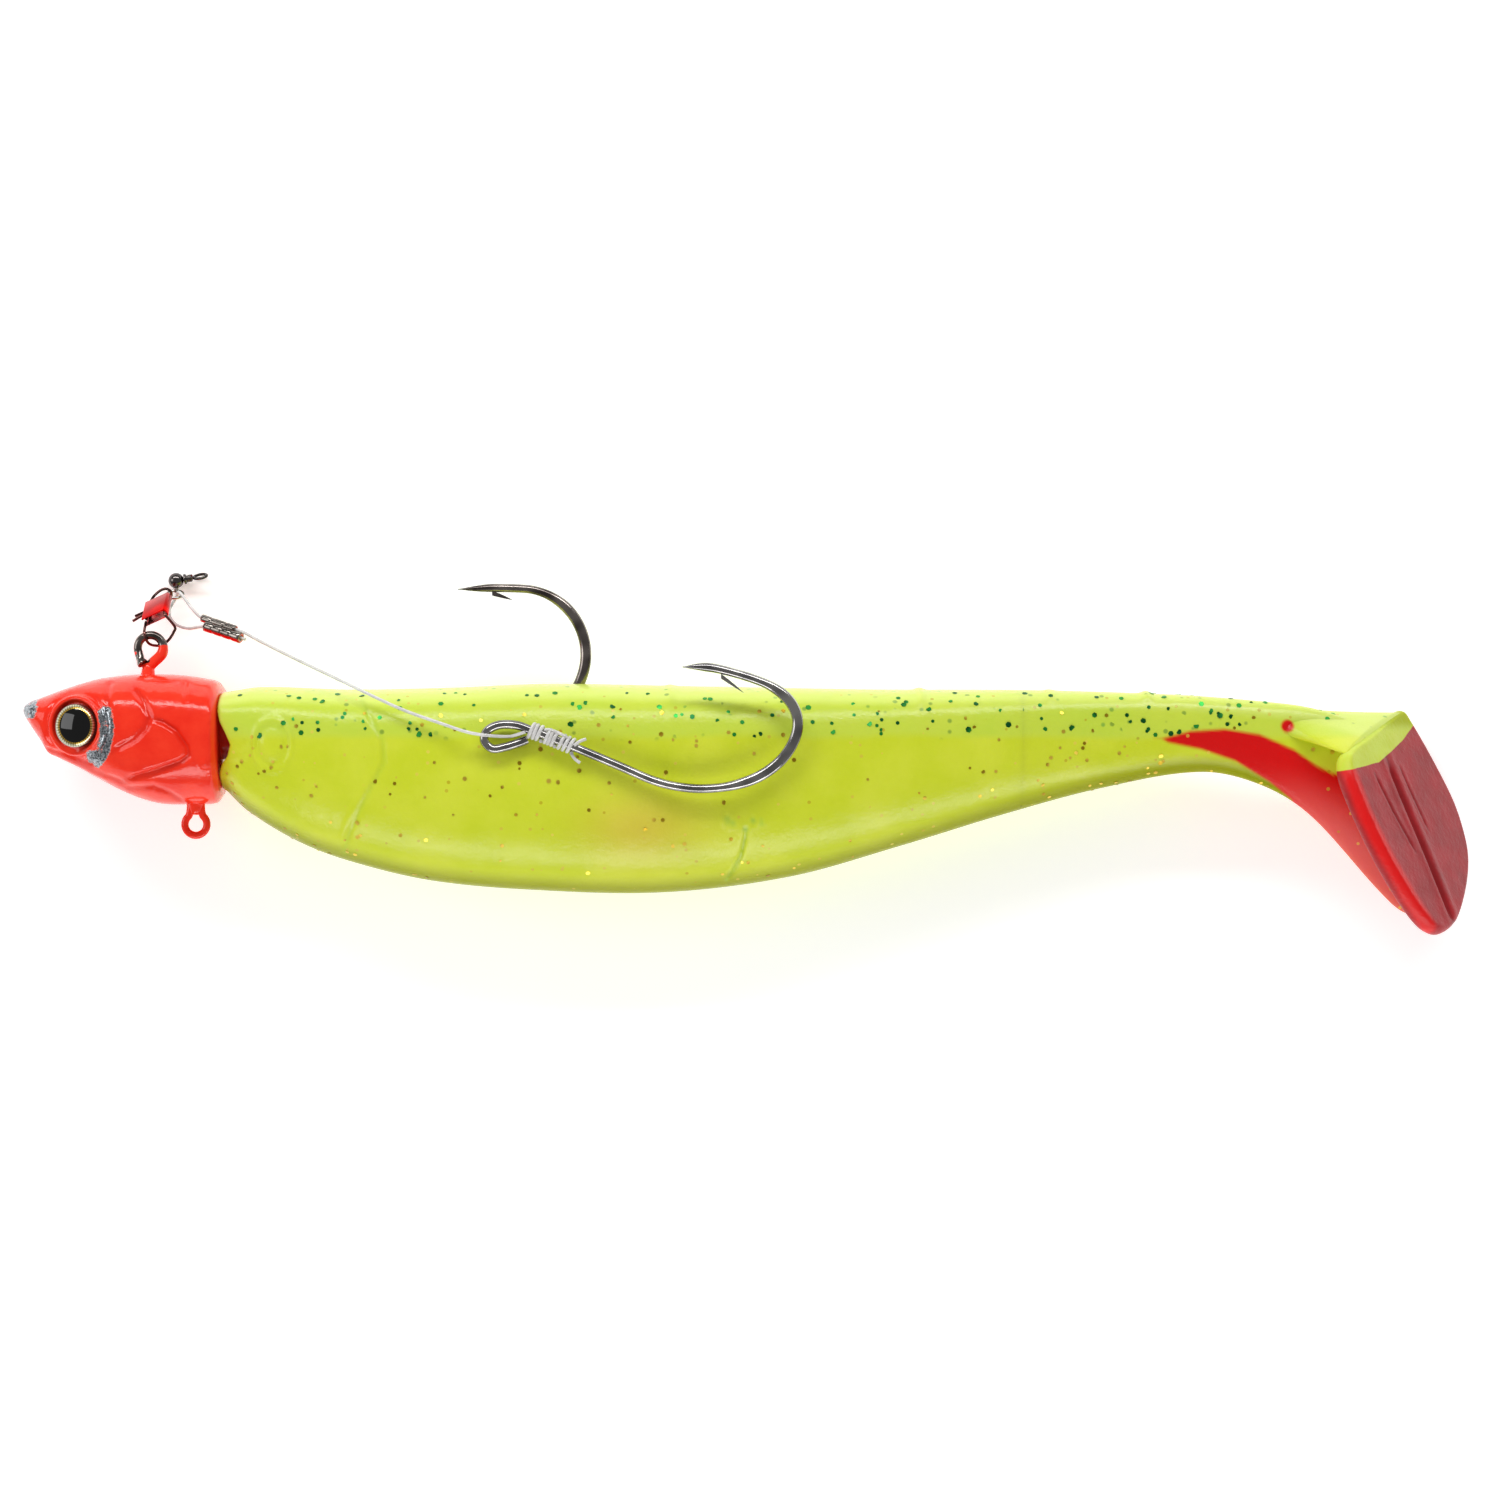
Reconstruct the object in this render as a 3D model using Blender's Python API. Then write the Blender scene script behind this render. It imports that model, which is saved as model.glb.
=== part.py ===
"""A rigged swimbait lying on its right flank: lead jig head, soft body, snap, swivel and stinger rig.

+X runs from the nose to the tail, +Y to the back of the fish and +Z up through its left flank.
Lengths below are millimetres; everything is scaled to metres when a mesh is made.
"""

import math

import bmesh
import bpy
from mathutils import Matrix, Vector

MM = 0.001

# Driving dimensions
MID = 12.0  # height of the fish's middle plane over the table
FIT_GAP = 0.25  # between a moulded or pierced part and the wire through it
JOINT_GAP = 0.3  # between a soft joint's round end and its socket
REAR_HINGE = 17.0  # where the soft body starts to bend
TAIL_HINGE = 70.0  # the wrist of the tail
REAR_SOCKET = 11.2  # radii of the sockets at the two joints
TAIL_SOCKET = 4.6
HEAD_REAR = -83.5
BODY_FRONT = -82.9
JIG_WIRE = 1.35
BELLY_WIRE = 1.2
LEG_GAP = 0.35  # across the belly eye's two close legs
SNAP_WIRE = 0.44
LEADER = 0.5
STINGER_WIRE = 1.4
KNOT_ACROSS = 2.4
KNOT_BORE = 1.8  # round the stinger's shank
EYE_AT = (-105.4, 4.0)
EYE_RADIUS = 3.4
EYE_TILT = math.radians(18)
LINE_TIE = (-95.0, 16.4)
BELLY_EYE = (-87.8, -11.4)
BALL_AT = (-92.4, 27.5, 1.35)
BALL_RADIUS = 1.2
PADDLE_AT = (104.5, -10.3, 15.7)
PADDLE_ACROSS = Vector((0.62, 0.0, -0.785)).normalized()
PADDLE_DOWN = Vector((0.276, -0.937, 0.218)).normalized()
PADDLE_THICK = 3.0

# Outlines as (x, value): back line, belly line and half the thickness
HEAD_BACK = [(-115, 6.9), (-112.2, 8.5), (-108.4, 9.9), (-103.8, 11.3), (-96.6, 12.2), (-90, 12.1), (-83.5, 10.6)]
HEAD_BELLY = [(-115, 5.4), (-113.1, 2.4), (-109.6, -1.0), (-103.8, -4.2), (-98, -7), (-93.3, -8.3), (-83.5, -8.3)]
HEAD_HALF = [(-115, 2.6), (-113.2, 5.2), (-109, 8), (-103, 10.2), (-96, 11.3), (-90, 11.5), (-83.5, 11)]
BODY_BACK = [(-82.9, 9.4), (-77, 10.2), (-63, 9.8), (-47, 10.1), (-32, 10.7), (-8, 10.3), (20, 9.8),
             (45, 9.7), (60, 9.3), (71, 8.8), (82.6, 7.8), (92, 7.0), (112, 7.0)]
BODY_BELLY = [(-82.9, -6.2), (-79.3, -9.6), (-71.3, -14.4), (-63.4, -17.4), (-51, -20.4), (-36, -21.9),
              (-14, -22.4), (6.4, -19.9), (24, -15.0), (40, -10.1), (55.6, -5.9), (71.5, -3.3),
              (81, -5.3), (89, -10.2), (100, -22.3), (103.5, -25.4), (108, -26.6), (112, -26.8)]
BODY_HALF = [(-82.9, 9.8), (-76, 11), (-62, 11.9), (-40, 12.3), (-16, 12.3), (2, 11.7), (17, 10.6),
             (40, 8), (58, 5.3), (70, 3.9), (84, 2.9), (96, 1.8), (112, 1.4)]


def start_clean():
    for old in list(bpy.data.objects):
        bpy.data.objects.remove(old, do_unlink=True)


def material(name, colour, roughness, metallic=0.0):
    made = bpy.data.materials.new(name)
    made.use_nodes = True
    shader = made.node_tree.nodes["Principled BSDF"]
    shader.inputs["Base Color"].default_value = (*colour, 1.0)
    shader.inputs["Roughness"].default_value = roughness
    shader.inputs["Metallic"].default_value = metallic
    return made


def value_at(table, x):
    """The smooth curve through a table's points, read at x."""
    for i in range(len(table) - 1):
        if x <= table[i + 1][0] or i == len(table) - 2:
            break
    before = table[max(i - 1, 0)]
    (x0, y0), (x1, y1) = table[i], table[i + 1]
    after = table[min(i + 2, len(table) - 1)]
    t = min(max((x - x0) / (x1 - x0), 0.0), 1.0)
    slope0 = (y1 - before[1]) / (x1 - before[0]) * (x1 - x0)
    slope1 = (after[1] - y0) / (after[0] - x0) * (x1 - x0)
    a = 2 * t**3 - 3 * t**2 + 1
    b = t**3 - 2 * t**2 + t
    return a * y0 + b * slope0 + (1 - a) * y1 + (t**3 - t**2) * slope1


def smooth_route(points, step):
    """Points about one step apart along the smooth curve through the given points."""
    knots = [Vector(p) for p in points]
    knots = [2 * knots[0] - knots[1]] + knots + [2 * knots[-1] - knots[-2]]
    route = [knots[1]]
    for p0, p1, p2, p3 in zip(knots, knots[1:], knots[2:], knots[3:]):
        count = max(1, round((p2 - p1).length / step))
        for k in range(1, count + 1):
            t = k / count
            bend = (2 * p0 - 5 * p1 + 4 * p2 - p3) * t * t + (3 * p1 - p0 - 3 * p2 + p3) * t**3
            route.append(0.5 * (2 * p1 + (p2 - p0) * t + bend))
    return route


def arc(centre, radius, start, stop, count, z=MID):
    """Points on a level arc, with its angles in degrees."""
    angles = [math.radians(start + (stop - start) * k / count) for k in range(count + 1)]
    return [(centre[0] + radius * math.cos(a), centre[1] + radius * math.sin(a), z) for a in angles]


def finish(name, bm, made_of, origin=(0, 0, 0)):
    """An object from a mesh in millimetres, with its origin on its joint's axis."""
    bmesh.ops.recalc_face_normals(bm, faces=bm.faces)
    if bm.calc_volume(signed=True) < 0:
        bmesh.ops.reverse_faces(bm, faces=bm.faces)
    bm.transform(Matrix.Scale(MM, 4) @ Matrix.Translation(-Vector(origin)))
    mesh = bpy.data.meshes.new(name)
    bm.to_mesh(mesh)
    bm.free()
    made = bpy.data.objects.new(name, mesh)
    made.location = Vector(origin) * MM
    bpy.context.collection.objects.link(made)
    made.data.materials.append(made_of)
    mesh.shade_smooth()
    mesh.set_sharp_from_angle(angle=math.radians(40))
    return made


def wire(name, points, diameter, made_of, origin=(0, 0, 0), closed=False, taper=0, sides=2):
    """A round wire along the points, with filled ends; taper thins its last points to a needle."""
    curve = bpy.data.curves.new(name, "CURVE")
    curve.dimensions = "3D"
    curve.bevel_depth = diameter / 2 * MM
    curve.bevel_resolution = sides
    curve.use_fill_caps = True
    spline = curve.splines.new("POLY")
    spline.points.add(len(points) - 1)
    spline.use_cyclic_u = closed
    for i, (target, p) in enumerate(zip(spline.points, points)):
        target.co = (*((Vector(p) - Vector(origin)) * MM), 1.0)
        left = len(points) - 1 - i
        if taper and left < taper:
            target.radius = 0.12 + 0.88 * left / taper
    made = bpy.data.objects.new(name, curve)
    made.location = Vector(origin) * MM
    bpy.context.collection.objects.link(made)
    curve.materials.append(made_of)
    return made


def solid_wire(name, points, diameter, made_of, origin=(0, 0, 0), **shape):
    """The same wire as a welded mesh, so that it can be cut, joined or used as a cutter."""
    guide = wire(name + " guide", points, diameter, made_of, origin, **shape)
    bm = bmesh.new()
    bm.from_mesh(guide.to_mesh())
    guide.to_mesh_clear()
    bpy.data.objects.remove(guide, do_unlink=True)
    bmesh.ops.remove_doubles(bm, verts=bm.verts, dist=0.002 * MM)
    bm.transform(Matrix.Translation(Vector(origin)) @ Matrix.Scale(1 / MM, 4))
    return finish(name, bm, made_of, origin)


def cutter(made):
    made.hide_render = True
    made.display_type = "WIRE"
    return made


def boolean(target, tool, operation):
    """Adds a cut or a union that keeps the tool out of the model."""
    cutter(tool)
    cut = target.modifiers.new(f"{operation.lower()} {tool.name}", "BOOLEAN")
    cut.operation = operation
    cut.object = tool
    cut.solver = "EXACT"


def ring_of_points(x, back, belly, half, squareness, sides, middle=MID, widest=0.34):
    """One cross-section: a squared ellipse above its widest line and a plain one below it."""
    broad = back - (back - belly) * widest
    ring = []
    for k in range(sides):
        angle = 2 * math.pi * k / sides
        c, s = math.cos(angle), math.sin(angle)
        power = 2 / squareness if c > 0 else 2 / 2.05
        reach = back - broad if c > 0 else broad - belly
        y = broad + math.copysign(abs(c) ** power, c) * reach
        z = middle + math.copysign(abs(s) ** power, s) * half
        ring.append((x, y, z))
    return ring


def loft(rings):
    """A closed mesh through rings of points, with its ends filled."""
    bm = bmesh.new()
    loops = [[bm.verts.new(p) for p in ring] for ring in rings]
    count = len(loops[0])
    for near, far in zip(loops, loops[1:]):
        for k in range(count):
            bm.faces.new((near[k], near[(k + 1) % count], far[(k + 1) % count], far[k]))
    bm.faces.new(loops[0])
    bm.faces.new(loops[-1])
    return bm


def body_sections(start, stop, count, sides=28):
    spots = [start + (stop - start) * k / count for k in range(count + 1)]
    return [
        ring_of_points(x, value_at(BODY_BACK, x), value_at(BODY_BELLY, x), value_at(BODY_HALF, x), 2.7, sides)
        for x in spots
    ]


def slice_off(bm, point, normal):
    """Cuts away everything beyond a plane and fills the flat face that is left."""
    everything = bm.verts[:] + bm.edges[:] + bm.faces[:]
    cut = bmesh.ops.bisect_plane(bm, geom=everything, plane_co=point, plane_no=normal, clear_outer=True)
    rim = [e for e in cut["geom_cut"] if isinstance(e, bmesh.types.BMEdge)]
    bmesh.ops.contextual_create(bm, geom=rim)


def upright_prism(name, outline, made_of):
    """A tall prism along Y over an outline of (x, z) points."""
    bm = bmesh.new()
    low, high = ([bm.verts.new((x, y, z)) for x, z in outline] for y in (-40.0, 30.0))
    count = len(outline)
    for k in range(count):
        bm.faces.new((low[k], low[(k + 1) % count], high[(k + 1) % count], high[k]))
    bm.faces.new(low)
    bm.faces.new(high)
    return finish(name, bm, made_of)


def socket_cutter(name, hinge, radius, made_of):
    """A full round, and all that lies behind it, for the concave side of a flexing joint."""
    turn = [math.radians(90 + 180 * k / 20) for k in range(21)]
    outline = [(hinge + radius * math.cos(a), MID + radius * math.sin(a)) for a in turn]
    return upright_prism(name, outline + [(hinge + 60, MID - radius), (hinge + 60, MID + radius)], made_of)


def barrel_cutter(name, hinge, radius, made_of):
    """Everything in front of a half round, for the convex side of a flexing joint."""
    turn = [math.radians(90 + 180 * k / 20) for k in range(21)]
    bite = [(hinge + radius * math.cos(a), MID + radius * math.sin(a)) for a in turn]
    return upright_prism(name, bite + [(hinge, -30), (hinge - 40, -30), (hinge - 40, 50), (hinge, 50)], made_of)


def tie_route():
    """The line tie: a wire ring on top of the head, from its cut end round to the stem."""
    x, y = LINE_TIE
    ring = arc(LINE_TIE, 2.02, 216, -38, 16)
    ring[0] = (x - 1.75, y - 1.75, MID + 0.5)
    return ring


def cast_in_route():
    """The stem and the right-angled bend inside the lead, and the shank out through the keeper."""
    x, y = LINE_TIE
    stem = [(x - 0.2, y - 3.0, MID), (x - 0.55, y - 4.2, MID), (x - 0.6, 9.0, MID), (x - 0.4, 6.9, MID)]
    return stem + [(x + 0.5, 5.4, MID), (x + 2.4, 4.9, MID), (x + 8, 4.9, MID), (-70, 4.9, MID)]


def bend_route():
    """The shank's rear, the round bend that leaves the fish's back, and the point."""
    bend = arc((-36.4, 15.35), 10.45, -90, 90, 14)
    return [(-50, 4.9, MID)] + bend + [(-40.5, 25.9, MID), (-43.4, 25.8, MID), (-46.2, 25.7, MID)]


def wedge_barb(name, tip, root, out, made_of):
    """The cut-up barb behind a hook's point: a thin three-sided spike."""
    tip, root, out = Vector(tip), Vector(root), Vector(out)
    side = (tip - root).cross(out).normalized() * 0.3
    bm = bmesh.new()
    base = [root + side, root - side, root + out * 0.55 - side, root + out * 0.55 + side]
    corners = [bm.verts.new(p) for p in base]
    bm.faces.new(corners)
    peak = bm.verts.new(tip)
    for k in range(4):
        bm.faces.new((corners[k], corners[(k + 1) % 4], peak))
    return finish(name, bm, made_of)


def jig_hook(steel):
    hook = solid_wire("jig_hook", tie_route() + cast_in_route() + bend_route(), JIG_WIRE, steel, taper=3)
    barb = wedge_barb("jig_barb", (-37.8, 24.0, MID), (-41.4, 25.4, MID), (0, 0.6, 0), steel)
    boolean(hook, barb, "UNION")
    return hook


def belly_leg(side):
    """One of the belly eye's two legs, from inside the lead down to the chin."""
    x, y = BELLY_EYE
    return [(x + side * 0.85, y + 6, MID), (x + side * 0.87, y + 2.4, MID)]


def belly_route():
    """The belly eye's wire: two legs cast into the lead and a teardrop below the chin."""
    x, y = BELLY_EYE
    return belly_leg(-1) + arc((x, y - 0.2), 1.75, 130, 410, 16) + belly_leg(1)[::-1]


def belly_eye_wire(paint):
    return wire("belly_eye_wire", belly_route(), BELLY_WIRE, paint)


def round_cutter(name, radius, depth, matrix, made_of, sides=24):
    bm = bmesh.new()
    bmesh.ops.create_cone(bm, cap_ends=True, segments=sides, radius1=radius, radius2=radius, depth=depth)
    bm.transform(matrix)
    return finish(name, bm, made_of)


def eye_frame(side, lift):
    """Where an eye sits: on the left (+1) or right (-1) cheek, facing out and a little forward."""
    surface = value_at(HEAD_HALF, EYE_AT[0]) - 0.9
    turn = Matrix.Rotation(-EYE_TILT * side, 4, "Y")
    if side < 0:
        turn = turn @ Matrix.Rotation(math.pi, 4, "X")
    place = Matrix.Translation((EYE_AT[0], EYE_AT[1], MID + side * surface))
    return place @ turn @ Matrix.Translation((0, 0, lift))


def lead_head(paint):
    """The jig's lead head with its keeper collar, eye seats and the holes the wires are cast in."""
    spots = [-115, -114.3, -113, -111, -108.5, -105.5, -102, -98.5, -95, -91.5, -88, -85.3, -84, HEAD_REAR]
    shrink = {-84: 0.985, HEAD_REAR: 0.94}
    rings = []
    for x in spots:
        back, belly, half = (value_at(t, x) for t in (HEAD_BACK, HEAD_BELLY, HEAD_HALF))
        centre = (back + belly) / 2
        k = shrink.get(x, 1.0)
        rings.append(ring_of_points(x, centre + (back - centre) * k, centre + (belly - centre) * k, half * k,
                                    2.35, 32, widest=0.42))
    head = finish("lead_head", loft(rings), paint)
    along_x = Matrix.Rotation(math.radians(90), 4, "Y")
    keeper_place = Matrix.Translation((-80.5, 2.6, MID)) @ along_x
    boolean(head, round_cutter("keeper_collar", 3.9, 9.0, keeper_place, paint, 20), "UNION")
    boolean(head, solid_wire("jig_wire_hole", cast_in_route(), JIG_WIRE + 2 * FIT_GAP, paint), "DIFFERENCE")
    for side, word in ((-1, "front"), (1, "rear")):
        leg = belly_leg(side) + [(BELLY_EYE[0] + side * 1.0, BELLY_EYE[1], MID)]
        boolean(head, solid_wire(f"belly_{word}_hole", leg, BELLY_WIRE + LEG_GAP, paint), "DIFFERENCE")
    for side, word in ((1, "left"), (-1, "right")):
        seat = round_cutter(f"eye_seat_{word}", EYE_RADIUS + FIT_GAP, 4.0, eye_frame(side, 1.2), paint, 28)
        boolean(head, seat, "DIFFERENCE")
    return head


def eye_foil(side, word, foil):
    """The printed foil disc at the bottom of an eye seat."""
    bm = bmesh.new()
    bmesh.ops.create_cone(bm, cap_ends=True, segments=28, radius1=EYE_RADIUS, radius2=EYE_RADIUS, depth=0.4)
    bm.transform(eye_frame(side, -0.3))
    return finish(f"eye_foil_{word}", bm, foil)


def eye_dome(side, word, clear):
    """The clear resin dome over the foil: a flat disc with a low round top."""
    profile = [(EYE_RADIUS, 0.2), (EYE_RADIUS, 0.55), (2.9, 1.0), (2.1, 1.35), (1.1, 1.55)]
    bm = bmesh.new()
    count = 28
    loops = []
    for radius, height in profile:
        turn = [2 * math.pi * k / count for k in range(count)]
        loops.append([bm.verts.new((radius * math.cos(a), radius * math.sin(a), height)) for a in turn])
    for low, high in zip(loops, loops[1:]):
        for k in range(count):
            bm.faces.new((low[k], low[(k + 1) % count], high[(k + 1) % count], high[k]))
    bm.faces.new(loops[0])
    peak = bm.verts.new((0, 0, 1.62))
    for k in range(count):
        bm.faces.new((loops[-1][k], loops[-1][(k + 1) % count], peak))
    bm.transform(eye_frame(side, 0.0))
    return finish(f"eye_dome_{word}", bm, clear)


def soft_body_front(vinyl):
    """The front of the poured body, with the keeper's hole, the hook's tunnel and a flat where it rests."""
    bm = loft(body_sections(BODY_FRONT, REAR_HINGE + 6, 26))
    slice_off(bm, (0, 0, 0), (0, 0, -1))
    front = finish("soft_body_front", bm, vinyl)
    along_x = Matrix.Rotation(math.radians(90), 4, "Y")
    hole_place = Matrix.Translation((-80.2, 2.6, MID)) @ along_x
    boolean(front, round_cutter("keeper_hole", 4.2, 9.4, hole_place, vinyl, 20), "DIFFERENCE")
    tunnel = solid_wire("hook_tunnel", cast_in_route()[-2:] + bend_route(), JIG_WIRE + 2 * FIT_GAP, vinyl)
    boolean(front, tunnel, "DIFFERENCE")
    boolean(front, socket_cutter("rear_socket", REAR_HINGE, REAR_SOCKET, vinyl), "DIFFERENCE")
    return front


def soft_body_rear(vinyl):
    """The middle of the body: a round end in the front's socket, and a socket for the tail."""
    origin = (REAR_HINGE, 0, MID)
    rear = finish("soft_body_rear", loft(body_sections(REAR_HINGE - 14, TAIL_HINGE + 6, 22, 24)), vinyl, origin)
    boolean(rear, barrel_cutter("rear_barrel", REAR_HINGE, REAR_SOCKET - JOINT_GAP, vinyl), "DIFFERENCE")
    boolean(rear, socket_cutter("tail_socket", TAIL_HINGE, TAIL_SOCKET, vinyl), "DIFFERENCE")
    return rear


PADDLE_OUTLINE = [
    (-13.9, -9.4), (-10.5, -13), (-4, -15.6), (3, -16.8), (9, -17.2), (12, -15.6), (14.6, -12), (15.9, -7.5),
    (16.4, -0.4), (15.4, 5), (13.4, 9), (9.8, 13.4), (4.8, 17), (-0.4, 19), (-4.4, 17.3), (-7.6, 12.5),
    (-10.8, 5), (-12.9, -2), (-14, -7),
]


def paddle_point(across, down, out=0.0):
    normal = PADDLE_ACROSS.cross(PADDLE_DOWN)
    return Vector(PADDLE_AT) + PADDLE_ACROSS * across + PADDLE_DOWN * down - normal * out


def paddle_plate(red):
    """The paddle itself: a rounded plate set across the tail, turned and leaning back."""
    bm = bmesh.new()
    edge = len(PADDLE_OUTLINE)
    layers = [(0.955, 0.0), (1.0, -0.6), (1.0, -PADDLE_THICK + 0.6), (0.955, -PADDLE_THICK)]
    loops = []
    for size, out in layers:
        loops.append([bm.verts.new(paddle_point(u * size, v * size, out)) for u, v in PADDLE_OUTLINE])
    for low, high in zip(loops, loops[1:]):
        for k in range(edge):
            bm.faces.new((low[k], low[(k + 1) % edge], high[(k + 1) % edge], high[k]))
    bm.faces.new(loops[0])
    bm.faces.new(loops[-1])
    return finish("paddle_plate", bm, red)


def paddle_tail(red):
    """The tail wrist that deepens into a keel and carries the paddle."""
    bm = loft(body_sections(TAIL_HINGE - 8, 111, 18, 20))
    slice_off(bm, paddle_point(0, 0, -PADDLE_THICK * 0.55), paddle_point(0, 0, 1) - paddle_point(0, 0))
    tail = finish("paddle_tail", bm, red, (TAIL_HINGE, 0, MID))
    boolean(tail, barrel_cutter("tail_barrel", TAIL_HINGE, TAIL_SOCKET - JOINT_GAP, red), "DIFFERENCE")
    boolean(tail, paddle_plate(red), "UNION")
    return tail


CLASP_AT = Vector((-94.44, 22.42, 8.9))
CLASP_ACROSS = Vector((0.889, 0.385, 0.249)).normalized()
CLASP_ALONG = Vector((0.0, 0.542, -0.84)).normalized()
CLASP_OUT = CLASP_ACROSS.cross(CLASP_ALONG)
CLASP_LEFT, CLASP_RIGHT, CLASP_HALF_TALL = -1.85, 2.3, 2.65
CLASP_SHEET = 0.2
CLASP_DEEP = 0.85
SNAP_HINGE = (-94.6, 17.9, MID)
GATE_HINGE = (-96.0, 20.6, 10.2)


def clasp_point(across, along, out=0.0):
    return CLASP_AT + CLASP_ACROSS * across + CLASP_ALONG * along + CLASP_OUT * out


def snap_wire(steel):
    """The snap's fixed wire: one prong through the clasp, the loop in the swivel's eye, the long leg."""
    route = [
        clasp_point(-3.7, 0.2, 0.6), clasp_point(-1.9, 0.35, 0.52), clasp_point(0.0, 0.5, 0.45),
        clasp_point(0.95, 1.2, 0.2), clasp_point(0.95, 2.9), (-93.75, 24.1, 5.1), (-93.55, 24.0, 3.9),
        (-93.15, 24.5, 2.9), (-92.95, 25.2, 2.9), (-93.1, 25.8, 3.3), (-93.8, 26.1, 3.7),
        (-94.7, 25.7, 4.1), (-95.6, 24.7, 4.9),
        (-96.05, 23.3, 6.1), (-96.0, 21.9, 8.2), (-96.0, 21.0, 9.6),
    ]
    return wire("snap_wire", smooth_route(route, 0.7), SNAP_WIRE, steel, SNAP_HINGE)


def snap_gate(steel):
    """The spring leg: from the long leg round the bow in the line tie, back up and across the clasp."""
    route = [
        (-95.98, 20.55, 10.3), (-95.95, 19.9, 11.3), (-95.9, 19.1, 12.6), (-95.8, 18.4, 13.0),
        (-95.6, 17.8, 12.95), (-95.3, 17.2, 12.5), (-94.9, 16.9, 11.9), (-94.4, 16.8, 11.3),
        (-93.7, 16.8, 10.95), (-93.0, 17.1, 10.8), (-92.2, 17.8, 10.8), (-91.5, 18.9, 10.9),
        (-91.3, 19.8, 11.0), clasp_point(2.0, -2.95), clasp_point(1.75, -2.2), clasp_point(1.45, -1.0),
        clasp_point(0.5, -0.6, 0.35), clasp_point(-1.9, -0.5, 0.52), clasp_point(-4.0, -1.1, 0.6),
    ]
    return wire("snap_gate", smooth_route(route, 0.7), SNAP_WIRE, steel, GATE_HINGE)


def snap_clasp(steel):
    """The folded sheet round the two legs, open along its left edge."""
    left, right, tall = CLASP_LEFT, CLASP_RIGHT, CLASP_HALF_TALL
    deep, sheet = CLASP_DEEP, CLASP_SHEET
    fold = [
        (left, deep), (right, deep), (right, -deep), (left, -deep), (left, -deep - sheet),
        (right + sheet, -deep - sheet), (right + sheet, deep + sheet), (left, deep + sheet),
    ]
    bm = bmesh.new()
    near, far = ([bm.verts.new(clasp_point(u, v, n)) for u, n in fold] for v in (-tall, tall))
    count = len(fold)
    for k in range(count):
        bm.faces.new((near[k], near[(k + 1) % count], far[(k + 1) % count], far[k]))
    bm.faces.new(near)
    bm.faces.new(far)
    return finish("snap_clasp", bm, steel, SNAP_HINGE)


BALL_STEM = (Vector((-92.35, 25.9, 1.75)) - Vector(BALL_AT)).normalized()
UPPER_STEM = Vector((0.985, 0.17, 0.0)).normalized()
SNAP_EYE_RADIUS = 1.35
SNAP_EYE_CENTRE = Vector((-92.4, 25.2, 3.0))
SNAP_EYE_UP = Vector((0.0, -0.46, 0.888)).normalized()
TILT_AXIS_AT = (-92.4, 25.2, 3.0)


def turned(name, profile, start, along, made_of, origin, sides=14):
    """A round part turned about the line from start: profile holds (distance, radius) pairs."""
    along = Vector(along).normalized()
    side = along.orthogonal().normalized()
    other = along.cross(side)
    bm = bmesh.new()
    loops = []
    for far, radius in profile:
        turn = [2 * math.pi * k / sides for k in range(sides)]
        centre = Vector(start) + along * far
        loops.append([bm.verts.new(centre + (side * math.cos(a) + other * math.sin(a)) * radius) for a in turn])
    for low, high in zip(loops, loops[1:]):
        for k in range(sides):
            bm.faces.new((low[k], low[(k + 1) % sides], high[(k + 1) % sides], high[k]))
    bm.faces.new(loops[0])
    bm.faces.new(loops[-1])
    return finish(name, bm, made_of, origin)


def swivel_lower_eye(steel):
    """The stem in the ball's underside and the wire eye that the snap hangs on."""
    turn = [math.radians(-90 + 360 * k / 22) for k in range(22)]
    across = Vector((1.0, 0.0, 0.0))
    ring = [SNAP_EYE_CENTRE + (across * math.cos(a) + SNAP_EYE_UP * math.sin(a)) * SNAP_EYE_RADIUS for a in turn]
    eye = solid_wire("swivel_lower_eye", ring, 0.42, steel, TILT_AXIS_AT, closed=True)
    profile = [(BALL_RADIUS + 0.1, 0.42), (1.55, 0.5), (1.7, 0.34), (2.1, 0.3)]
    stem = turned("lower_stem", profile, BALL_AT, BALL_STEM, steel, TILT_AXIS_AT)
    boolean(eye, stem, "UNION")
    return eye


def swivel_ball(steel):
    """The hollow ball, drawn here solid with a short collar toward the upper stem."""
    angles = [math.radians(180 * k / 12) for k in range(1, 12)]
    profile = [(-BALL_RADIUS * math.cos(a), BALL_RADIUS * math.sin(a)) for a in angles]
    return turned("swivel_ball", profile, BALL_AT, BALL_STEM, steel, BALL_AT, 20)


def swivel_upper_eye(steel):
    """The upper stem with its cap, its coil and the wire eye that lies on the table."""
    profile = [(BALL_RADIUS + 0.12, 0.85), (1.6, 0.8), (1.8, 0.62), (2.4, 0.55), (2.6, 0.3), (3.1, 0.3)]
    stem = turned("upper_stem", profile, BALL_AT, UPPER_STEM, steel, BALL_AT)
    centre = Vector(BALL_AT) + UPPER_STEM * 3.95
    side = Vector((-UPPER_STEM.y, UPPER_STEM.x, 0.0))
    tilted = (side * 0.45 + Vector((0, 0, 0.893))).normalized()
    turn = [math.radians(180 + 360 * k / 20) for k in range(20)]
    ring = [centre + (UPPER_STEM * math.cos(a) * 1.05 + tilted * math.sin(a) * 0.8) for a in turn]
    eye = solid_wire("swivel_upper_eye", ring, 0.42, steel, BALL_AT, closed=True)
    boolean(eye, stem, "UNION")
    return eye


SLEEVE_START = Vector((-87.1, 21.2, 9.9))
SLEEVE_END = Vector((-81.4, 19.3, 12.4))
SLEEVE_APART = Vector((0.25, -1.55, 0.35))

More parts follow.
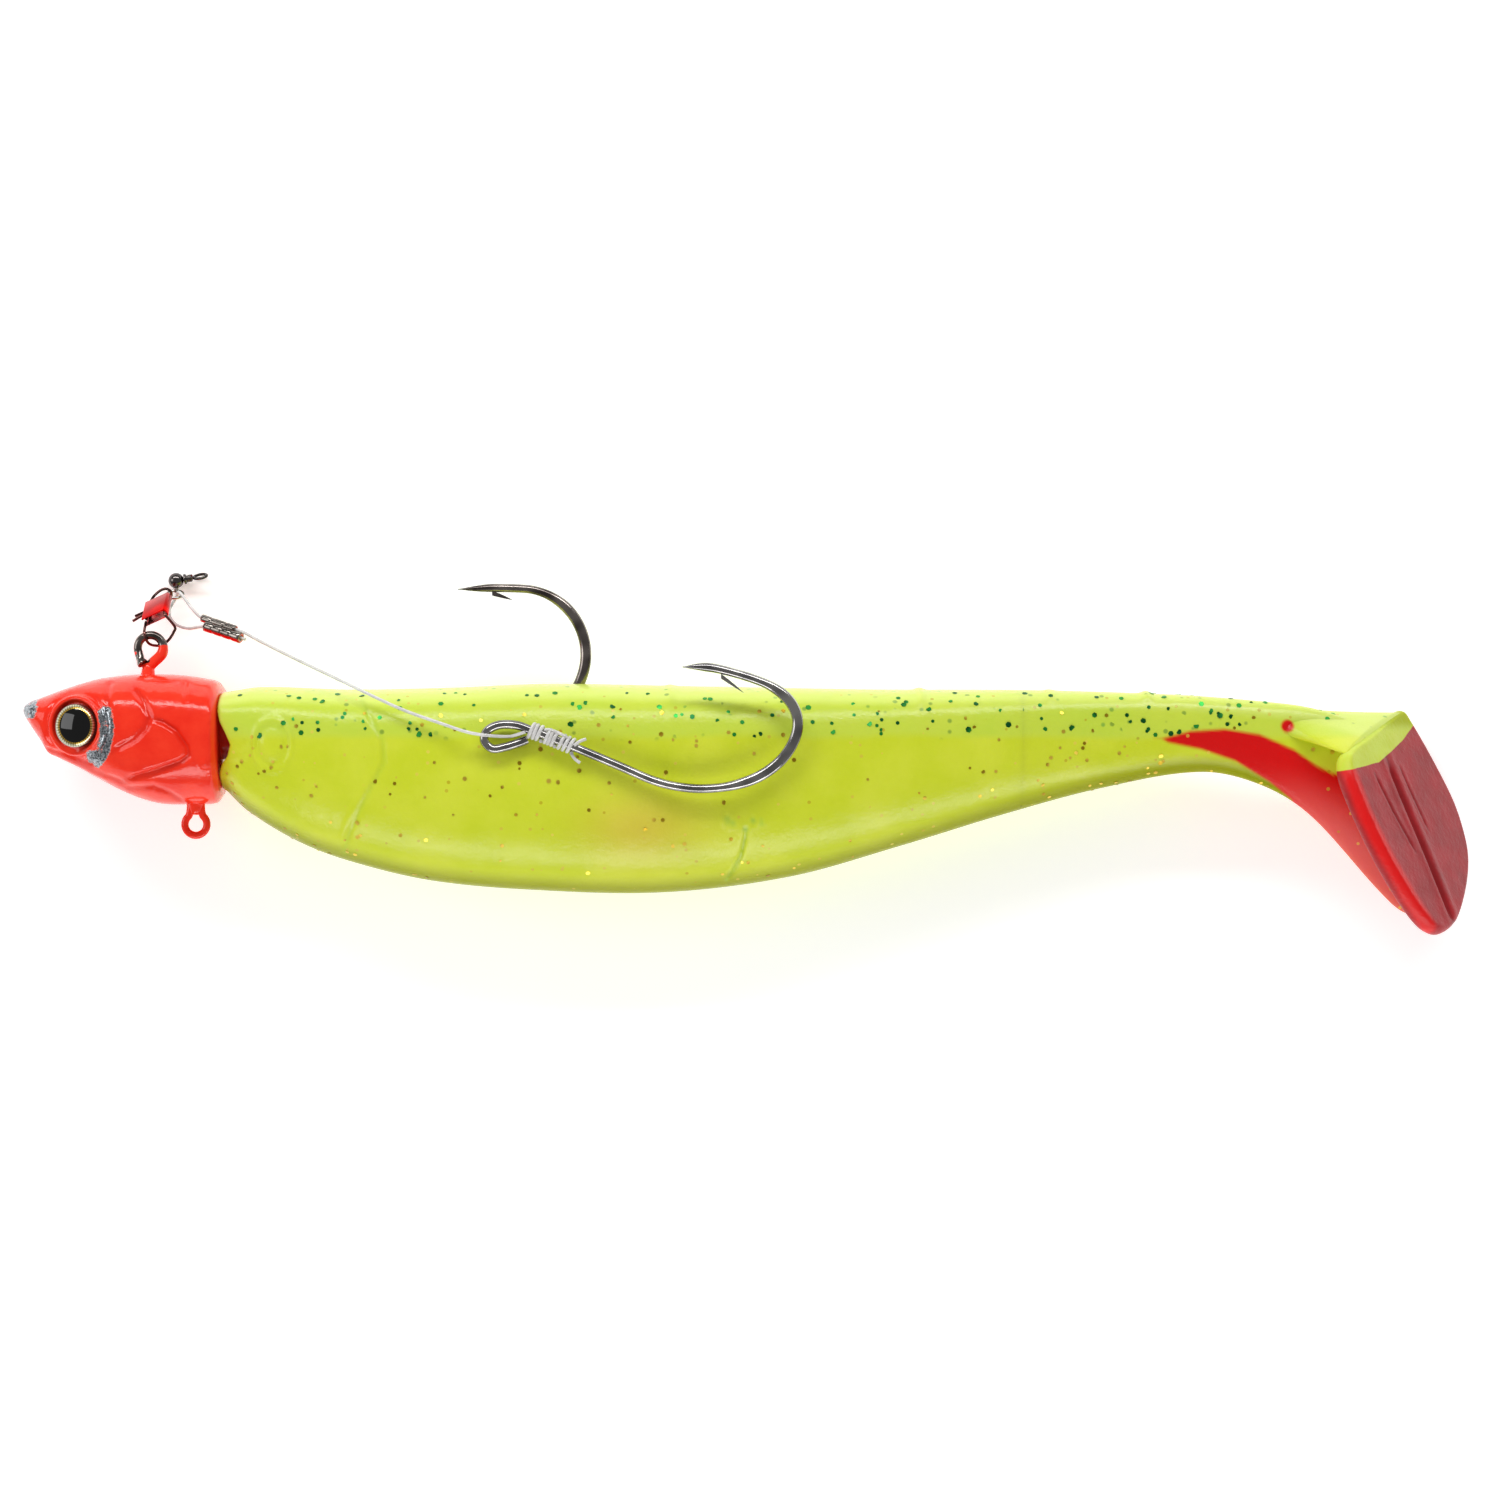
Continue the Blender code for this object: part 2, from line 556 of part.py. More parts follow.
LOOP_ROUTE = [
    (-87.6, 21.5, 9.5), (-89.2, 23.0, 7.4), (-90.6, 24.6, 5.2), (-91.5, 25.5, 3.8), (-91.9, 25.5, 3.0),
    (-92.2, 24.9, 2.2), (-92.8, 23.8, 2.5), (-93.1, 22.6, 3.9), (-92.7, 21.3, 5.6), (-91.3, 20.1, 7.4),
    (-89.4, 19.6, 8.7), (-87.5, 19.8, 9.8),
]
LINE_ROUTE = [
    (-79.9, 18.75, 13.2), (-77.9, 17.7, 14.4), (-71.5, 14.6, 18.2), (-64.6, 11.4, 21.6), (-59.1, 8.8, 23.7),
    (-53.5, 6.3, 25.0), (-47.5, 4.2, 26.1), (-44.2, 3.1, 26.8), (-41.8, 2.6, 27.0), (-39.9, 2.4, 26.4),
    (-38.2, 2.3, 25.8), (-37.1, 2.3, 25.6),
]
STINGER_Z = 25.75
HOOK_ROUTE = [
    (-34.0, 3.3, STINGER_Z), (-36.2, 4.15, STINGER_Z), (-38.9, 4.3, STINGER_Z), (-40.9, 3.2, STINGER_Z),
    (-41.3, 1.2, STINGER_Z), (-39.9, -0.2, STINGER_Z), (-37.6, 0.25, STINGER_Z), (-35.4, 1.1, STINGER_Z - 0.3),
    (-34.6, 1.6, STINGER_Z - 0.5),
]
SHANK_ROUTE = [
    (-34.0, 3.3), (-31.7, 2.5), (-26.8, 0.5), (-20.4, -2.2), (-15, -4.5), (-11, -5.5), (-7, -5.8), (-2.5, -5.3),
    (1.7, -3.8), (5, -1.3), (7, 1.8), (7.5, 4.8), (6.4, 7.6), (3.9, 9.8), (0.5, 11.3), (-4, 12.6), (-7, 13.1),
    (-10.4, 13.1),
]


def leader_loop(mono):
    """The leader's doubled end, through the swivel's eye and back to the sleeve."""
    return wire("leader_loop", smooth_route(LOOP_ROUTE, 1.2), LEADER, mono, TILT_AXIS_AT)


def crimp_sleeve(steel):
    """A double-barrel sleeve: two tubes side by side that grip the leader's two strands."""
    along = (SLEEVE_END - SLEEVE_START).normalized()
    long = (SLEEVE_END - SLEEVE_START).length
    upper = turned("crimp_sleeve", [(0, 0.62), (long, 0.62)], SLEEVE_START, along, steel, TILT_AXIS_AT, 12)
    lower_start = SLEEVE_START + SLEEVE_APART * 0.72 + along * 0.5
    lower = turned("sleeve_lower", [(0, 0.8), (long + 0.3, 0.8)], lower_start, along, steel, TILT_AXIS_AT, 12)
    boolean(upper, lower, "UNION")
    return upper


def leader_line(mono):
    """The single strand from the sleeve, over the fish's shoulder, to the stinger's eye."""
    return wire("leader_line", smooth_route(LINE_ROUTE, 1.3), LEADER, mono, TILT_AXIS_AT)


def stinger_hook(steel):
    """The stinger hook: an elongated eye, a straight shank and a wide round bend."""
    eye = [Vector(p) for p in HOOK_ROUTE]
    shank = [Vector((x, y, STINGER_Z)) for x, y in SHANK_ROUTE]
    route = smooth_route(eye[::-1] + shank[1:], 1.5)
    hook = solid_wire("stinger_hook", route, STINGER_WIRE, steel, (-39.0, 2.2, STINGER_Z), taper=3)
    barb = wedge_barb("stinger_barb", (-1.2, 9.3, STINGER_Z), (-5.2, 12.2, STINGER_Z), (0.0, 0.7, 0), steel)
    boolean(hook, barb, "UNION")
    return hook


def leader_knot(mono):
    """The snell's wraps, as one sleeve round the shank just behind the eye."""
    shank = [(x, y, STINGER_Z) for x, y in SHANK_ROUTE]
    along = smooth_route(shank[1:4], 1.5)[1:6]
    origin = (-39.0, 2.2, STINGER_Z)
    knot = solid_wire("leader_knot", along, KNOT_ACROSS, mono, origin)
    bore = solid_wire("knot_bore", smooth_route(shank[1:4], 1.5), KNOT_BORE, mono, origin)
    boolean(knot, bore, "DIFFERENCE")
    return knot


def main():
    start_clean()
    red_paint = material("red paint", (0.9, 0.06, 0.03), 0.18)
    nickel = material("black nickel", (0.16, 0.16, 0.17), 0.22, 1.0)
    bright = material("tinned steel", (0.62, 0.61, 0.58), 0.25, 1.0)
    vinyl = material("chartreuse vinyl", (0.62, 0.72, 0.08), 0.3)
    red_vinyl = material("red vinyl", (0.7, 0.02, 0.02), 0.3)
    foil = material("eye foil", (0.75, 0.6, 0.3), 0.3, 0.8)
    clear = material("clear resin", (0.9, 0.9, 0.9), 0.05)
    mono = material("clear leader", (0.85, 0.85, 0.85), 0.15)
    lead_head(red_paint)
    for side, word in ((1, "left"), (-1, "right")):
        eye_foil(side, word, foil)
        eye_dome(side, word, clear)
    jig_hook(nickel)
    belly_eye_wire(red_paint)
    soft_body_front(vinyl)
    soft_body_rear(vinyl)
    paddle_tail(red_vinyl)
    snap_wire(nickel)
    snap_gate(nickel)
    snap_clasp(nickel)
    swivel_lower_eye(nickel)
    swivel_ball(nickel)
    swivel_upper_eye(nickel)
    leader_loop(mono)
    crimp_sleeve(bright)
    leader_line(mono)
    leader_knot(mono)
    stinger_hook(bright)


if __name__ == "__main__":
    main()
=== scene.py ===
"""The looks of a rigged swimbait: a painted lead head, a poured soft body, its hooks, snap, swivel and leader."""

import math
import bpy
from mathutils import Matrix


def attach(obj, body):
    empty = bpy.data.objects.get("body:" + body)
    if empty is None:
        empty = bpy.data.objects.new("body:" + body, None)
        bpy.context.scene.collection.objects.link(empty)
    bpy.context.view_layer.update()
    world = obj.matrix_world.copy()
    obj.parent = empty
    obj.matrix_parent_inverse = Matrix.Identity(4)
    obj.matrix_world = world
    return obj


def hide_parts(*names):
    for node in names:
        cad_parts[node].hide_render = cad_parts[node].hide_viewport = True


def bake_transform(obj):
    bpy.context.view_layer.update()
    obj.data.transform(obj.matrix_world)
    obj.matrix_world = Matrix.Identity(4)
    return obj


bl_info = {
    "name": "Rigged swimbait",
    "version": (1, 0, 0),
    "blender": (4, 5, 0),
    "location": "View3D > Sidebar > Swimbait",
    "description": "Builds a rigged swimbait piece by piece around its packed frame",
    "category": "Object",
}

import bmesh
import bpy
import numpy as np
from bpy.props import FloatProperty, IntProperty, PointerProperty
from mathutils import Vector

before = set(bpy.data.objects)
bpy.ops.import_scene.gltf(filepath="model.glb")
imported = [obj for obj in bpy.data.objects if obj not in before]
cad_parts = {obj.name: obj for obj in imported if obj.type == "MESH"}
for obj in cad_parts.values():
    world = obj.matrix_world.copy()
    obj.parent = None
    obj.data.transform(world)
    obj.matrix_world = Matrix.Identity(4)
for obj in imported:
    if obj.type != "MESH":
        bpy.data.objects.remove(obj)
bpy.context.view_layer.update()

# Lengths in this file are millimetres unless a name or a property says otherwise.
MM = 0.001
MID = 12.0
BODY_SPLIT = 43.0

# Outlines as (x, value): back line, belly line and half the thickness
HEAD_BACK = [(-114.9, 6.7), (-114.6, 7.35), (-113.6, 8.0), (-112.2, 8.5), (-108.4, 9.9), (-103.8, 11.3),
             (-100.3, 11.9),
             (-96.6, 12.2), (-90, 12.1), (-85.2, 11.4), (-84.2, 11.0), (-83.5, 10.0)]
HEAD_BELLY = [(-114.9, 5.9), (-114.6, 5.3), (-114, 4.3), (-113.1, 3.0), (-111.9, 1.2), (-111, -0.3), (-109.6, -1.0),
              (-106.1, -2.7), (-103.8, -4.0), (-98, -6.9), (-93.3, -8.3), (-87.5, -8.4), (-84.4, -8.2),
              (-83.5, -7.0)]
HEAD_HALF = [(-114.9, 1.8), (-114.6, 3.1), (-113.8, 4.7), (-113, 5.8), (-109, 8), (-103, 10.2), (-96, 11.3),
             (-90, 11.5), (-84.4, 11.2), (-83.5, 10.2)]
BODY_BACK = [(-82.9, 9.4), (-77, 10.2), (-63, 9.8), (-47, 10.1), (-32, 10.7), (-8, 10.3), (20, 9.8),
             (45, 9.7), (60, 9.3), (71, 8.8), (82.6, 7.8), (88, 7.1), (93, 5.8), (100, 3.2), (112, 0.0)]
BODY_BELLY = [(-82.9, -6.2), (-79.3, -9.6), (-71.3, -14.4), (-63.4, -17.4), (-51, -20.4), (-36, -21.9),
              (-14, -22.4), (6.4, -19.9), (24, -15.0), (40, -10.1), (55.6, -5.9), (71.5, -3.3),
              (81, -5.3), (89, -10.2), (100, -22.3), (103.5, -25.4), (108, -26.6), (112, -26.8)]
BODY_HALF = [(-82.9, 9.8), (-76, 11), (-62, 11.9), (-40, 12.3), (-16, 12.3), (2, 11.7), (17, 10.6),
             (40, 8), (58, 5.3), (70, 3.9), (84, 2.9), (96, 1.8), (112, 1.4)]

EYE_AT = (-105.4, 4.0)
EYE_TILT = math.radians(18)
KEEPER_AT = (2.6, MID)
LINE_TIE = (-95.0, 16.4)
BELLY_EYE = (-87.8, -11.4)
BALL_AT = Vector((-92.4, 27.5, 1.35))
SNAP_EYE_CENTRE = Vector((-92.4, 25.2, 3.0))
SNAP_EYE_UP = Vector((0.0, -0.46, 0.888)).normalized()
BALL_STEM = (Vector((-92.35, 25.9, 1.75)) - BALL_AT).normalized()
UPPER_STEM = Vector((0.985, 0.17, 0.0)).normalized()
CLASP_AT = Vector((-94.44, 22.42, 8.9))
CLASP_ACROSS = Vector((0.889, 0.385, 0.249)).normalized()
CLASP_ALONG = Vector((0.0, 0.542, -0.84)).normalized()
CLASP_OUT = CLASP_ACROSS.cross(CLASP_ALONG)
SLEEVE_START = Vector((-87.1, 21.2, 9.9))
SLEEVE_END = Vector((-81.4, 19.3, 12.4))
SLEEVE_APART = Vector((0.25, -1.55, 0.35))
STINGER_Z = 25.75
PADDLE_AT = Vector((104.5, -10.3, 15.7))
PADDLE_ACROSS = Vector((0.62, 0.0, -0.785)).normalized()
PADDLE_DOWN = Vector((0.276, -0.937, 0.218)).normalized()
PADDLE_THICK = 3.0


# ---------------------------------------------------------------- curves and meshes


def value_at(table, x):
    """The smooth curve through a table's points, read at x."""
    for i in range(len(table) - 1):
        if x <= table[i + 1][0] or i == len(table) - 2:
            break
    before = table[max(i - 1, 0)]
    (x0, y0), (x1, y1) = table[i], table[i + 1]
    after = table[min(i + 2, len(table) - 1)]
    t = min(max((x - x0) / (x1 - x0), 0.0), 1.0)
    slope0 = (y1 - before[1]) / (x1 - before[0]) * (x1 - x0)
    slope1 = (after[1] - y0) / (after[0] - x0) * (x1 - x0)
    a = 2 * t**3 - 3 * t**2 + 1
    b = t**3 - 2 * t**2 + t
    return a * y0 + b * slope0 + (1 - a) * y1 + (t**3 - t**2) * slope1


def smooth_route(points, step):
    """Points about one step apart along the smooth curve through the given points."""
    knots = [Vector(p) for p in points]
    knots = [2 * knots[0] - knots[1]] + knots + [2 * knots[-1] - knots[-2]]
    route = [knots[1]]
    for p0, p1, p2, p3 in zip(knots, knots[1:], knots[2:], knots[3:]):
        count = max(1, round((p2 - p1).length / step))
        for k in range(1, count + 1):
            t = k / count
            bend = (2 * p0 - 5 * p1 + 4 * p2 - p3) * t * t + (3 * p1 - p0 - 3 * p2 + p3) * t**3
            route.append(0.5 * (2 * p1 + (p2 - p0) * t + bend))
    return route


def arc(centre, radius, start, stop, count, z=MID):
    """Points on a level arc, with its angles in degrees."""
    angles = [math.radians(start + (stop - start) * k / count) for k in range(count + 1)]
    return [(centre[0] + radius * math.cos(a), centre[1] + radius * math.sin(a), z) for a in angles]


def smoothstep(low, high, value):
    t = np.clip((value - low) / (high - low), 0.0, 1.0)
    return t * t * (3 - 2 * t)


def distance_to(points, line):
    """How far each (x, y) point is from a chain of straight runs, and how far along the chain it is nearest."""
    points = np.asarray(points, float)
    best = np.full(len(points), np.inf)
    along = np.zeros(len(points))
    done = 0.0
    for a, b in zip(np.asarray(line[:-1], float), np.asarray(line[1:], float)):
        run = b - a
        length = np.linalg.norm(run)
        t = np.clip((points - a) @ run / (length * length), 0, 1)
        away = np.linalg.norm(points - a - t[:, None] * run, axis=1)
        closer = away < best
        best[closer] = away[closer]
        along[closer] = done + t[closer] * length
        done += length
    return best, along / done


def groove(points, line, width, depth):
    """A rounded groove along a chain of runs that fades out at its two ends."""
    away, along = distance_to(points, line)
    fade = smoothstep(0, 0.12, along) * smoothstep(0, 0.12, 1 - along)
    return -depth * np.exp(-((away / width) ** 2)) * fade


def mesh_object(name, vertices, faces, *materials, sharp=40):
    """An object at the origin from vertices in millimetres, with its faces pointing out."""
    mesh = bpy.data.meshes.new(name)
    scaled = np.asarray([tuple(v) for v in vertices], float) * MM
    scaled[:, 2] = np.maximum(scaled[:, 2], 0.0)
    mesh.from_pydata(scaled.tolist(), [], [tuple(int(i) for i in f) for f in faces])
    bm = bmesh.new()
    bm.from_mesh(mesh)
    bmesh.ops.remove_doubles(bm, verts=bm.verts, dist=0.002 * MM)
    bmesh.ops.recalc_face_normals(bm, faces=bm.faces)
    if bm.calc_volume(signed=True) < 0:
        bmesh.ops.reverse_faces(bm, faces=bm.faces)
    bm.to_mesh(mesh)
    bm.free()
    mesh.shade_smooth()
    mesh.set_sharp_from_angle(angle=math.radians(sharp))
    made = bpy.data.objects.new(name, mesh)
    bpy.context.collection.objects.link(made)
    for material in materials:
        mesh.materials.append(material)
    return made


def ring_faces(rings, count, first=0):
    """Quads between rings that each hold count points, and a fan-free cap at both ends."""
    faces = []
    for r in range(rings - 1):
        a, b = first + r * count, first + (r + 1) * count
        faces += [(a + k, a + (k + 1) % count, b + (k + 1) % count, b + k) for k in range(count)]
    last = first + (rings - 1) * count
    faces.append(tuple(range(first + count - 1, first - 1, -1)))
    faces.append(tuple(range(last, last + count)))
    return faces


def tube(points, radii, sides=16, flat=1.0, flat_axis=None):
    """Vertices and faces of a round wire along points; flat thins it along flat_axis."""
    points = [Vector(p) for p in points]
    last = len(points) - 1
    tangent = (points[1] - points[0]).normalized()
    side = tangent.orthogonal().normalized()
    vertices = []
    for i, p in enumerate(points):
        new = (points[min(i + 1, last)] - points[max(i - 1, 0)]).normalized()
        side = (tangent.rotation_difference(new) @ side).normalized()
        tangent = new
        other = tangent.cross(side)
        radius = radii(i / last) if callable(radii) else radii
        for k in range(sides):
            a = 2 * math.pi * k / sides
            offset = (side * math.cos(a) + other * math.sin(a)) * radius
            if flat_axis is not None:
                squeeze = flat(i / last) if callable(flat) else flat
                offset -= flat_axis * offset.dot(flat_axis) * (1 - squeeze)
            vertices.append(p + offset)
    return vertices, ring_faces(len(points), sides)


def turned(profile, start, along, sides=32):
    """Vertices and faces of a round part turned about a line: profile holds (distance, radius)."""
    along = Vector(along).normalized()
    side = along.orthogonal().normalized()
    other = along.cross(side)
    vertices = []
    for far, radius in profile:
        for k in range(sides):
            a = 2 * math.pi * k / sides
            spoke = side * math.cos(a) + other * math.sin(a)
            vertices.append(Vector(start) + along * far + spoke * max(radius, 0.004))
    return vertices, ring_faces(len(profile), sides)


def join(*parts):
    """Several (vertices, faces) as one."""
    vertices, faces = [], []
    for some, sides in parts:
        base = len(vertices)
        vertices += [tuple(v) for v in some]
        faces += [tuple(i + base for i in f) for f in sides]
    return vertices, faces


def section(x, back, belly, half, squareness, sides, middle=MID, widest=0.34):
    """One cross-section: a squared ellipse above its widest line and a plain one below it."""
    broad = back - (back - belly) * widest
    turn = 2 * math.pi * np.arange(sides) / sides
    c, s = np.cos(turn), np.sin(turn)
    power = np.where(c > 0, 2 / squareness, 2 / 2.05)
    reach = np.where(c > 0, back - broad, broad - belly)
    y = broad + np.sign(c) * np.abs(c) ** power * reach
    z = middle + np.sign(s) * np.abs(s) ** power * half
    return np.stack([np.full(sides, float(x)), y, z], axis=1)


def set_attribute(made, name, values):
    """A float value for each vertex that the material reads by name."""
    layer = made.data.attributes.new(name, "FLOAT", "POINT")
    layer.data.foreach_set("value", np.asarray(values, np.float32))


def places(made):
    """The vertices of a mesh, in millimetres."""
    flat = np.zeros(len(made.data.vertices) * 3)
    made.data.vertices.foreach_get("co", flat)
    return flat.reshape(-1, 3) / MM


# ---------------------------------------------------------------- materials


def linear(colour, alpha=1.0):
    """An sRGB hex colour as linear values."""
    channels = [int(colour[i : i + 2], 16) / 255 for i in (1, 3, 5)]
    return (*[c / 12.92 if c <= 0.04045 else ((c + 0.055) / 1.055) ** 2.4 for c in channels], alpha)


def add_node(tree, kind, settings=None, **inputs):
    """A node with its settings; an input is a value or another node's socket, by name or as i0, i1, ..."""
    node = tree.nodes.new(kind)
    for key, value in (settings or {}).items():
        setattr(node, key, value)
    for key, value in inputs.items():
        socket = node.inputs[int(key[1:])] if key[0] == "i" and key[1:].isdigit() else node.inputs[key.replace("_", " ")]
        if isinstance(value, bpy.types.NodeSocket):
            tree.links.new(value, socket)
        else:
            socket.default_value = value
    return node


def new_material(name):
    """A material, its tree and its shader."""
    made = bpy.data.materials.new(name)
    made.use_nodes = True
    tree = made.node_tree
    return made, tree, tree.nodes["Principled BSDF"]


def place_on(tree, scale=1000.0):
    """Object coordinates in millimetres, times a further scale."""
    where = add_node(tree, "ShaderNodeTexCoord")
    mapped = add_node(tree, "ShaderNodeMapping", Vector=where.outputs["Object"])
    mapped.inputs["Scale"].default_value = (scale, scale, scale)
    return mapped.outputs["Vector"]


def mix_colours(tree, share, first, second):
    """Colour first where share is 0 and second where it is 1."""
    return add_node(tree, "ShaderNodeMix", {"data_type": "RGBA"}, i0=share, i6=first, i7=second).outputs[2]


def ramp(tree, value, low, high):
    """0 below low and 1 above high, with a smooth step between."""
    made = add_node(tree, "ShaderNodeMapRange", {"interpolation_type": "SMOOTHSTEP"}, Value=value)
    made.inputs["From Min"].default_value = low
    made.inputs["From Max"].default_value = high
    return made.outputs["Result"]


def maths(tree, operation, first, second=0.0):
    return add_node(tree, "ShaderNodeMath", {"operation": operation}, i0=first, i1=second).outputs[0]


def noise(tree, where, scale, detail=3.0, rough=0.55):
    made = add_node(tree, "ShaderNodeTexNoise", Vector=where, Scale=scale, Detail=detail, Roughness=rough)
    return made.outputs["Fac"]


def bump(tree, height, distance, strength=1.0, after=None):
    made = add_node(tree, "ShaderNodeBump", Height=height, Distance=distance, Strength=strength)
    if after is not None:
        tree.links.new(after, made.inputs["Normal"])
    return made.outputs["Normal"]


def attribute(tree, name):
    return add_node(tree, "ShaderNodeAttribute", {"attribute_name": name}).outputs["Fac"]


def link(tree, shader, **sockets):
    for name, socket in sockets.items():
        tree.links.new(socket, shader.inputs[name.replace("_", " ")])


def red_enamel(looks):
    """Powder enamel baked on cast lead: glassy and even, painted darker red in the creases as shade, chipped to
    grey metal.
    """
    made, tree, shader = new_material("baked red enamel on lead")
    where = place_on(tree)
    ragged = noise(tree, where, 0.9, 6.0, 0.68)
    fine = noise(tree, where, 3.2, 3.0)
    field = maths(tree, "ADD", attribute(tree, "chip"), maths(tree, "MULTIPLY", ragged, 1.3))
    field = maths(tree, "ADD", field, maths(tree, "MULTIPLY", fine, 0.25))
    bare = ramp(tree, field, 1.46, 1.52)
    lip = ramp(tree, field, 1.36, 1.46)
    lead = mix_colours(tree, ramp(tree, fine, 0.35, 0.65), linear("#41494F"), linear("#B9BFC4"))
    shade = mix_colours(tree, ramp(tree, noise(tree, where, 0.25), 0.3, 0.7), linear(looks.paint_deep_hex),
                        linear(looks.paint_hex))
    # painted shade: darker red in the moulded creases
    shade = mix_colours(tree, attribute(tree, "crease_shade_and_pale_lines"), shade, linear("#A80C06"))
    shade = mix_colours(tree, maths(tree, "MULTIPLY", lip, 0.75), shade, linear("#F7A79C"))
    rough = add_node(tree, "ShaderNodeMapRange", Value=bare)
    rough.inputs["To Min"].default_value = 0.15
    rough.inputs["To Max"].default_value = 0.24
    orange_peel = bump(tree, noise(tree, where, 0.8, 2.0), 0.00012, 0.5)
    step = bump(tree, maths(tree, "MULTIPLY", bare, -1.0), 0.00018, 0.8, orange_peel)
    link(tree, shader, Base_Color=mix_colours(tree, bare, shade, lead),
         Metallic=maths(tree, "MULTIPLY", bare, 0.75),
         Roughness=rough.outputs["Result"], Normal=step)
    shader.inputs["Specular IOR Level"].default_value = 0.38
    return made


def poured_vinyl(looks):
    """Plastisol poured in two colours: translucent, oily-smooth, with glitter held under the skin."""
    made, tree, shader = new_material("poured chartreuse plastisol")
    where = place_on(tree)
    parts = add_node(tree, "ShaderNodeSeparateXYZ", Vector=where)
    upward = parts.outputs["Y"]
    cloud = noise(tree, where, 0.09, 4.0)
    wander = maths(tree, "MULTIPLY", maths(tree, "SUBTRACT", noise(tree, where, 0.06, 2.0), 0.5), 2.4)
    line = ramp(tree, maths(tree, "ADD", upward, wander), 1.4, 3.0)
    flank = mix_colours(tree, ramp(tree, cloud, 0.35, 0.7), linear(looks.flank_hex), linear("#D8E23C"))
    back = mix_colours(tree, ramp(tree, cloud, 0.3, 0.7), linear(looks.back_hex), linear("#C8DE46"))
    shade = mix_colours(tree, line, flank, back)
    # painted highlight: a pale band just under the back's outline
    shade = mix_colours(tree, maths(tree, "MULTIPLY", attribute(tree, "painted_shoulder_highlight"), 0.75), shade, linear("#DCEC74"))
    # painted shade: dark olive along the belly edge
    shade = mix_colours(tree, maths(tree, "MULTIPLY", attribute(tree, "belly"), 0.85), shade, linear("#868A00"))
    shade = mix_colours(tree, maths(tree, "MULTIPLY", attribute(tree, "crease_shade_and_pale_lines"), 0.7), shade, linear("#A9D450"))
    shade = mix_colours(tree, maths(tree, "MULTIPLY", attribute(tree, "blush"), 0.35), shade, linear("#E8A060"))
    # painted highlight: the dyed red turns pale pink toward the lower wrist and keel
    painted_tail_highlight = mix_colours(tree, attribute(tree, "painted_tail_highlight"), linear(looks.tail_hex), linear("#E46A64"))
    shade = mix_colours(tree, attribute(tree, "dyed"), shade, painted_tail_highlight)
    # fine glitter under the skin: gold all over, green along the back
    gold = add_node(tree, "ShaderNodeTexVoronoi", Vector=where, Scale=0.62, Randomness=1.0)
    tint = add_node(tree, "ShaderNodeSeparateColor", Color=gold.outputs["Color"])
    chosen = ramp(tree, tint.outputs["Red"], 0.72, 0.74)
    speck = maths(tree, "MULTIPLY", ramp(tree, gold.outputs["Distance"], 0.2, 0.15), chosen)
    gilt = mix_colours(tree, tint.outputs["Green"], linear("#B59600"), linear("#F2D860"))
    shade = mix_colours(tree, maths(tree, "MULTIPLY", speck, 0.6), shade, gilt)
    green = add_node(tree, "ShaderNodeTexVoronoi", Vector=where, Scale=0.7, Randomness=1.0)
    dark = add_node(tree, "ShaderNodeSeparateColor", Color=green.outputs["Color"])
    some = maths(tree, "MULTIPLY", ramp(tree, dark.outputs["Red"], 0.84, 0.86), line)
    fleck = maths(tree, "MULTIPLY", ramp(tree, green.outputs["Distance"], 0.36, 0.16), some)
    fleck = maths(tree, "MULTIPLY", fleck, maths(tree, "SUBTRACT", 1.0, attribute(tree, "dyed")))
    leaf = mix_colours(tree, dark.outputs["Green"], linear("#0B6428"), linear("#2F9A40"))
    shade = mix_colours(tree, maths(tree, "MULTIPLY", fleck, 0.55), shade, leaf)
    rough = add_node(tree, "ShaderNodeMapRange", Value=noise(tree, where, 0.35, 4.0))
    rough.inputs["To Min"].default_value = 0.17
    rough.inputs["To Max"].default_value = 0.3
    wavy = bump(tree, noise(tree, where, 0.22, 3.0), 0.00035, 0.5)
    skin = bump(tree, noise(tree, where, 2.4, 4.0, 0.6), 0.00008, 0.5, wavy)
    sheen = maths(tree, "SUBTRACT", 0.36, maths(tree, "MULTIPLY", attribute(tree, "belly"), 0.3))
    link(tree, shader, Base_Color=shade, Roughness=rough.outputs["Result"], Specular_IOR_Level=sheen, Normal=skin)
    shader.inputs["Subsurface Weight"].default_value = 0.2
    shader.inputs["Subsurface Radius"].default_value = (0.004, 0.0035, 0.001)
    shader.inputs["Subsurface Scale"].default_value = 1.0
    shader.inputs["IOR"].default_value = 1.48
    return made


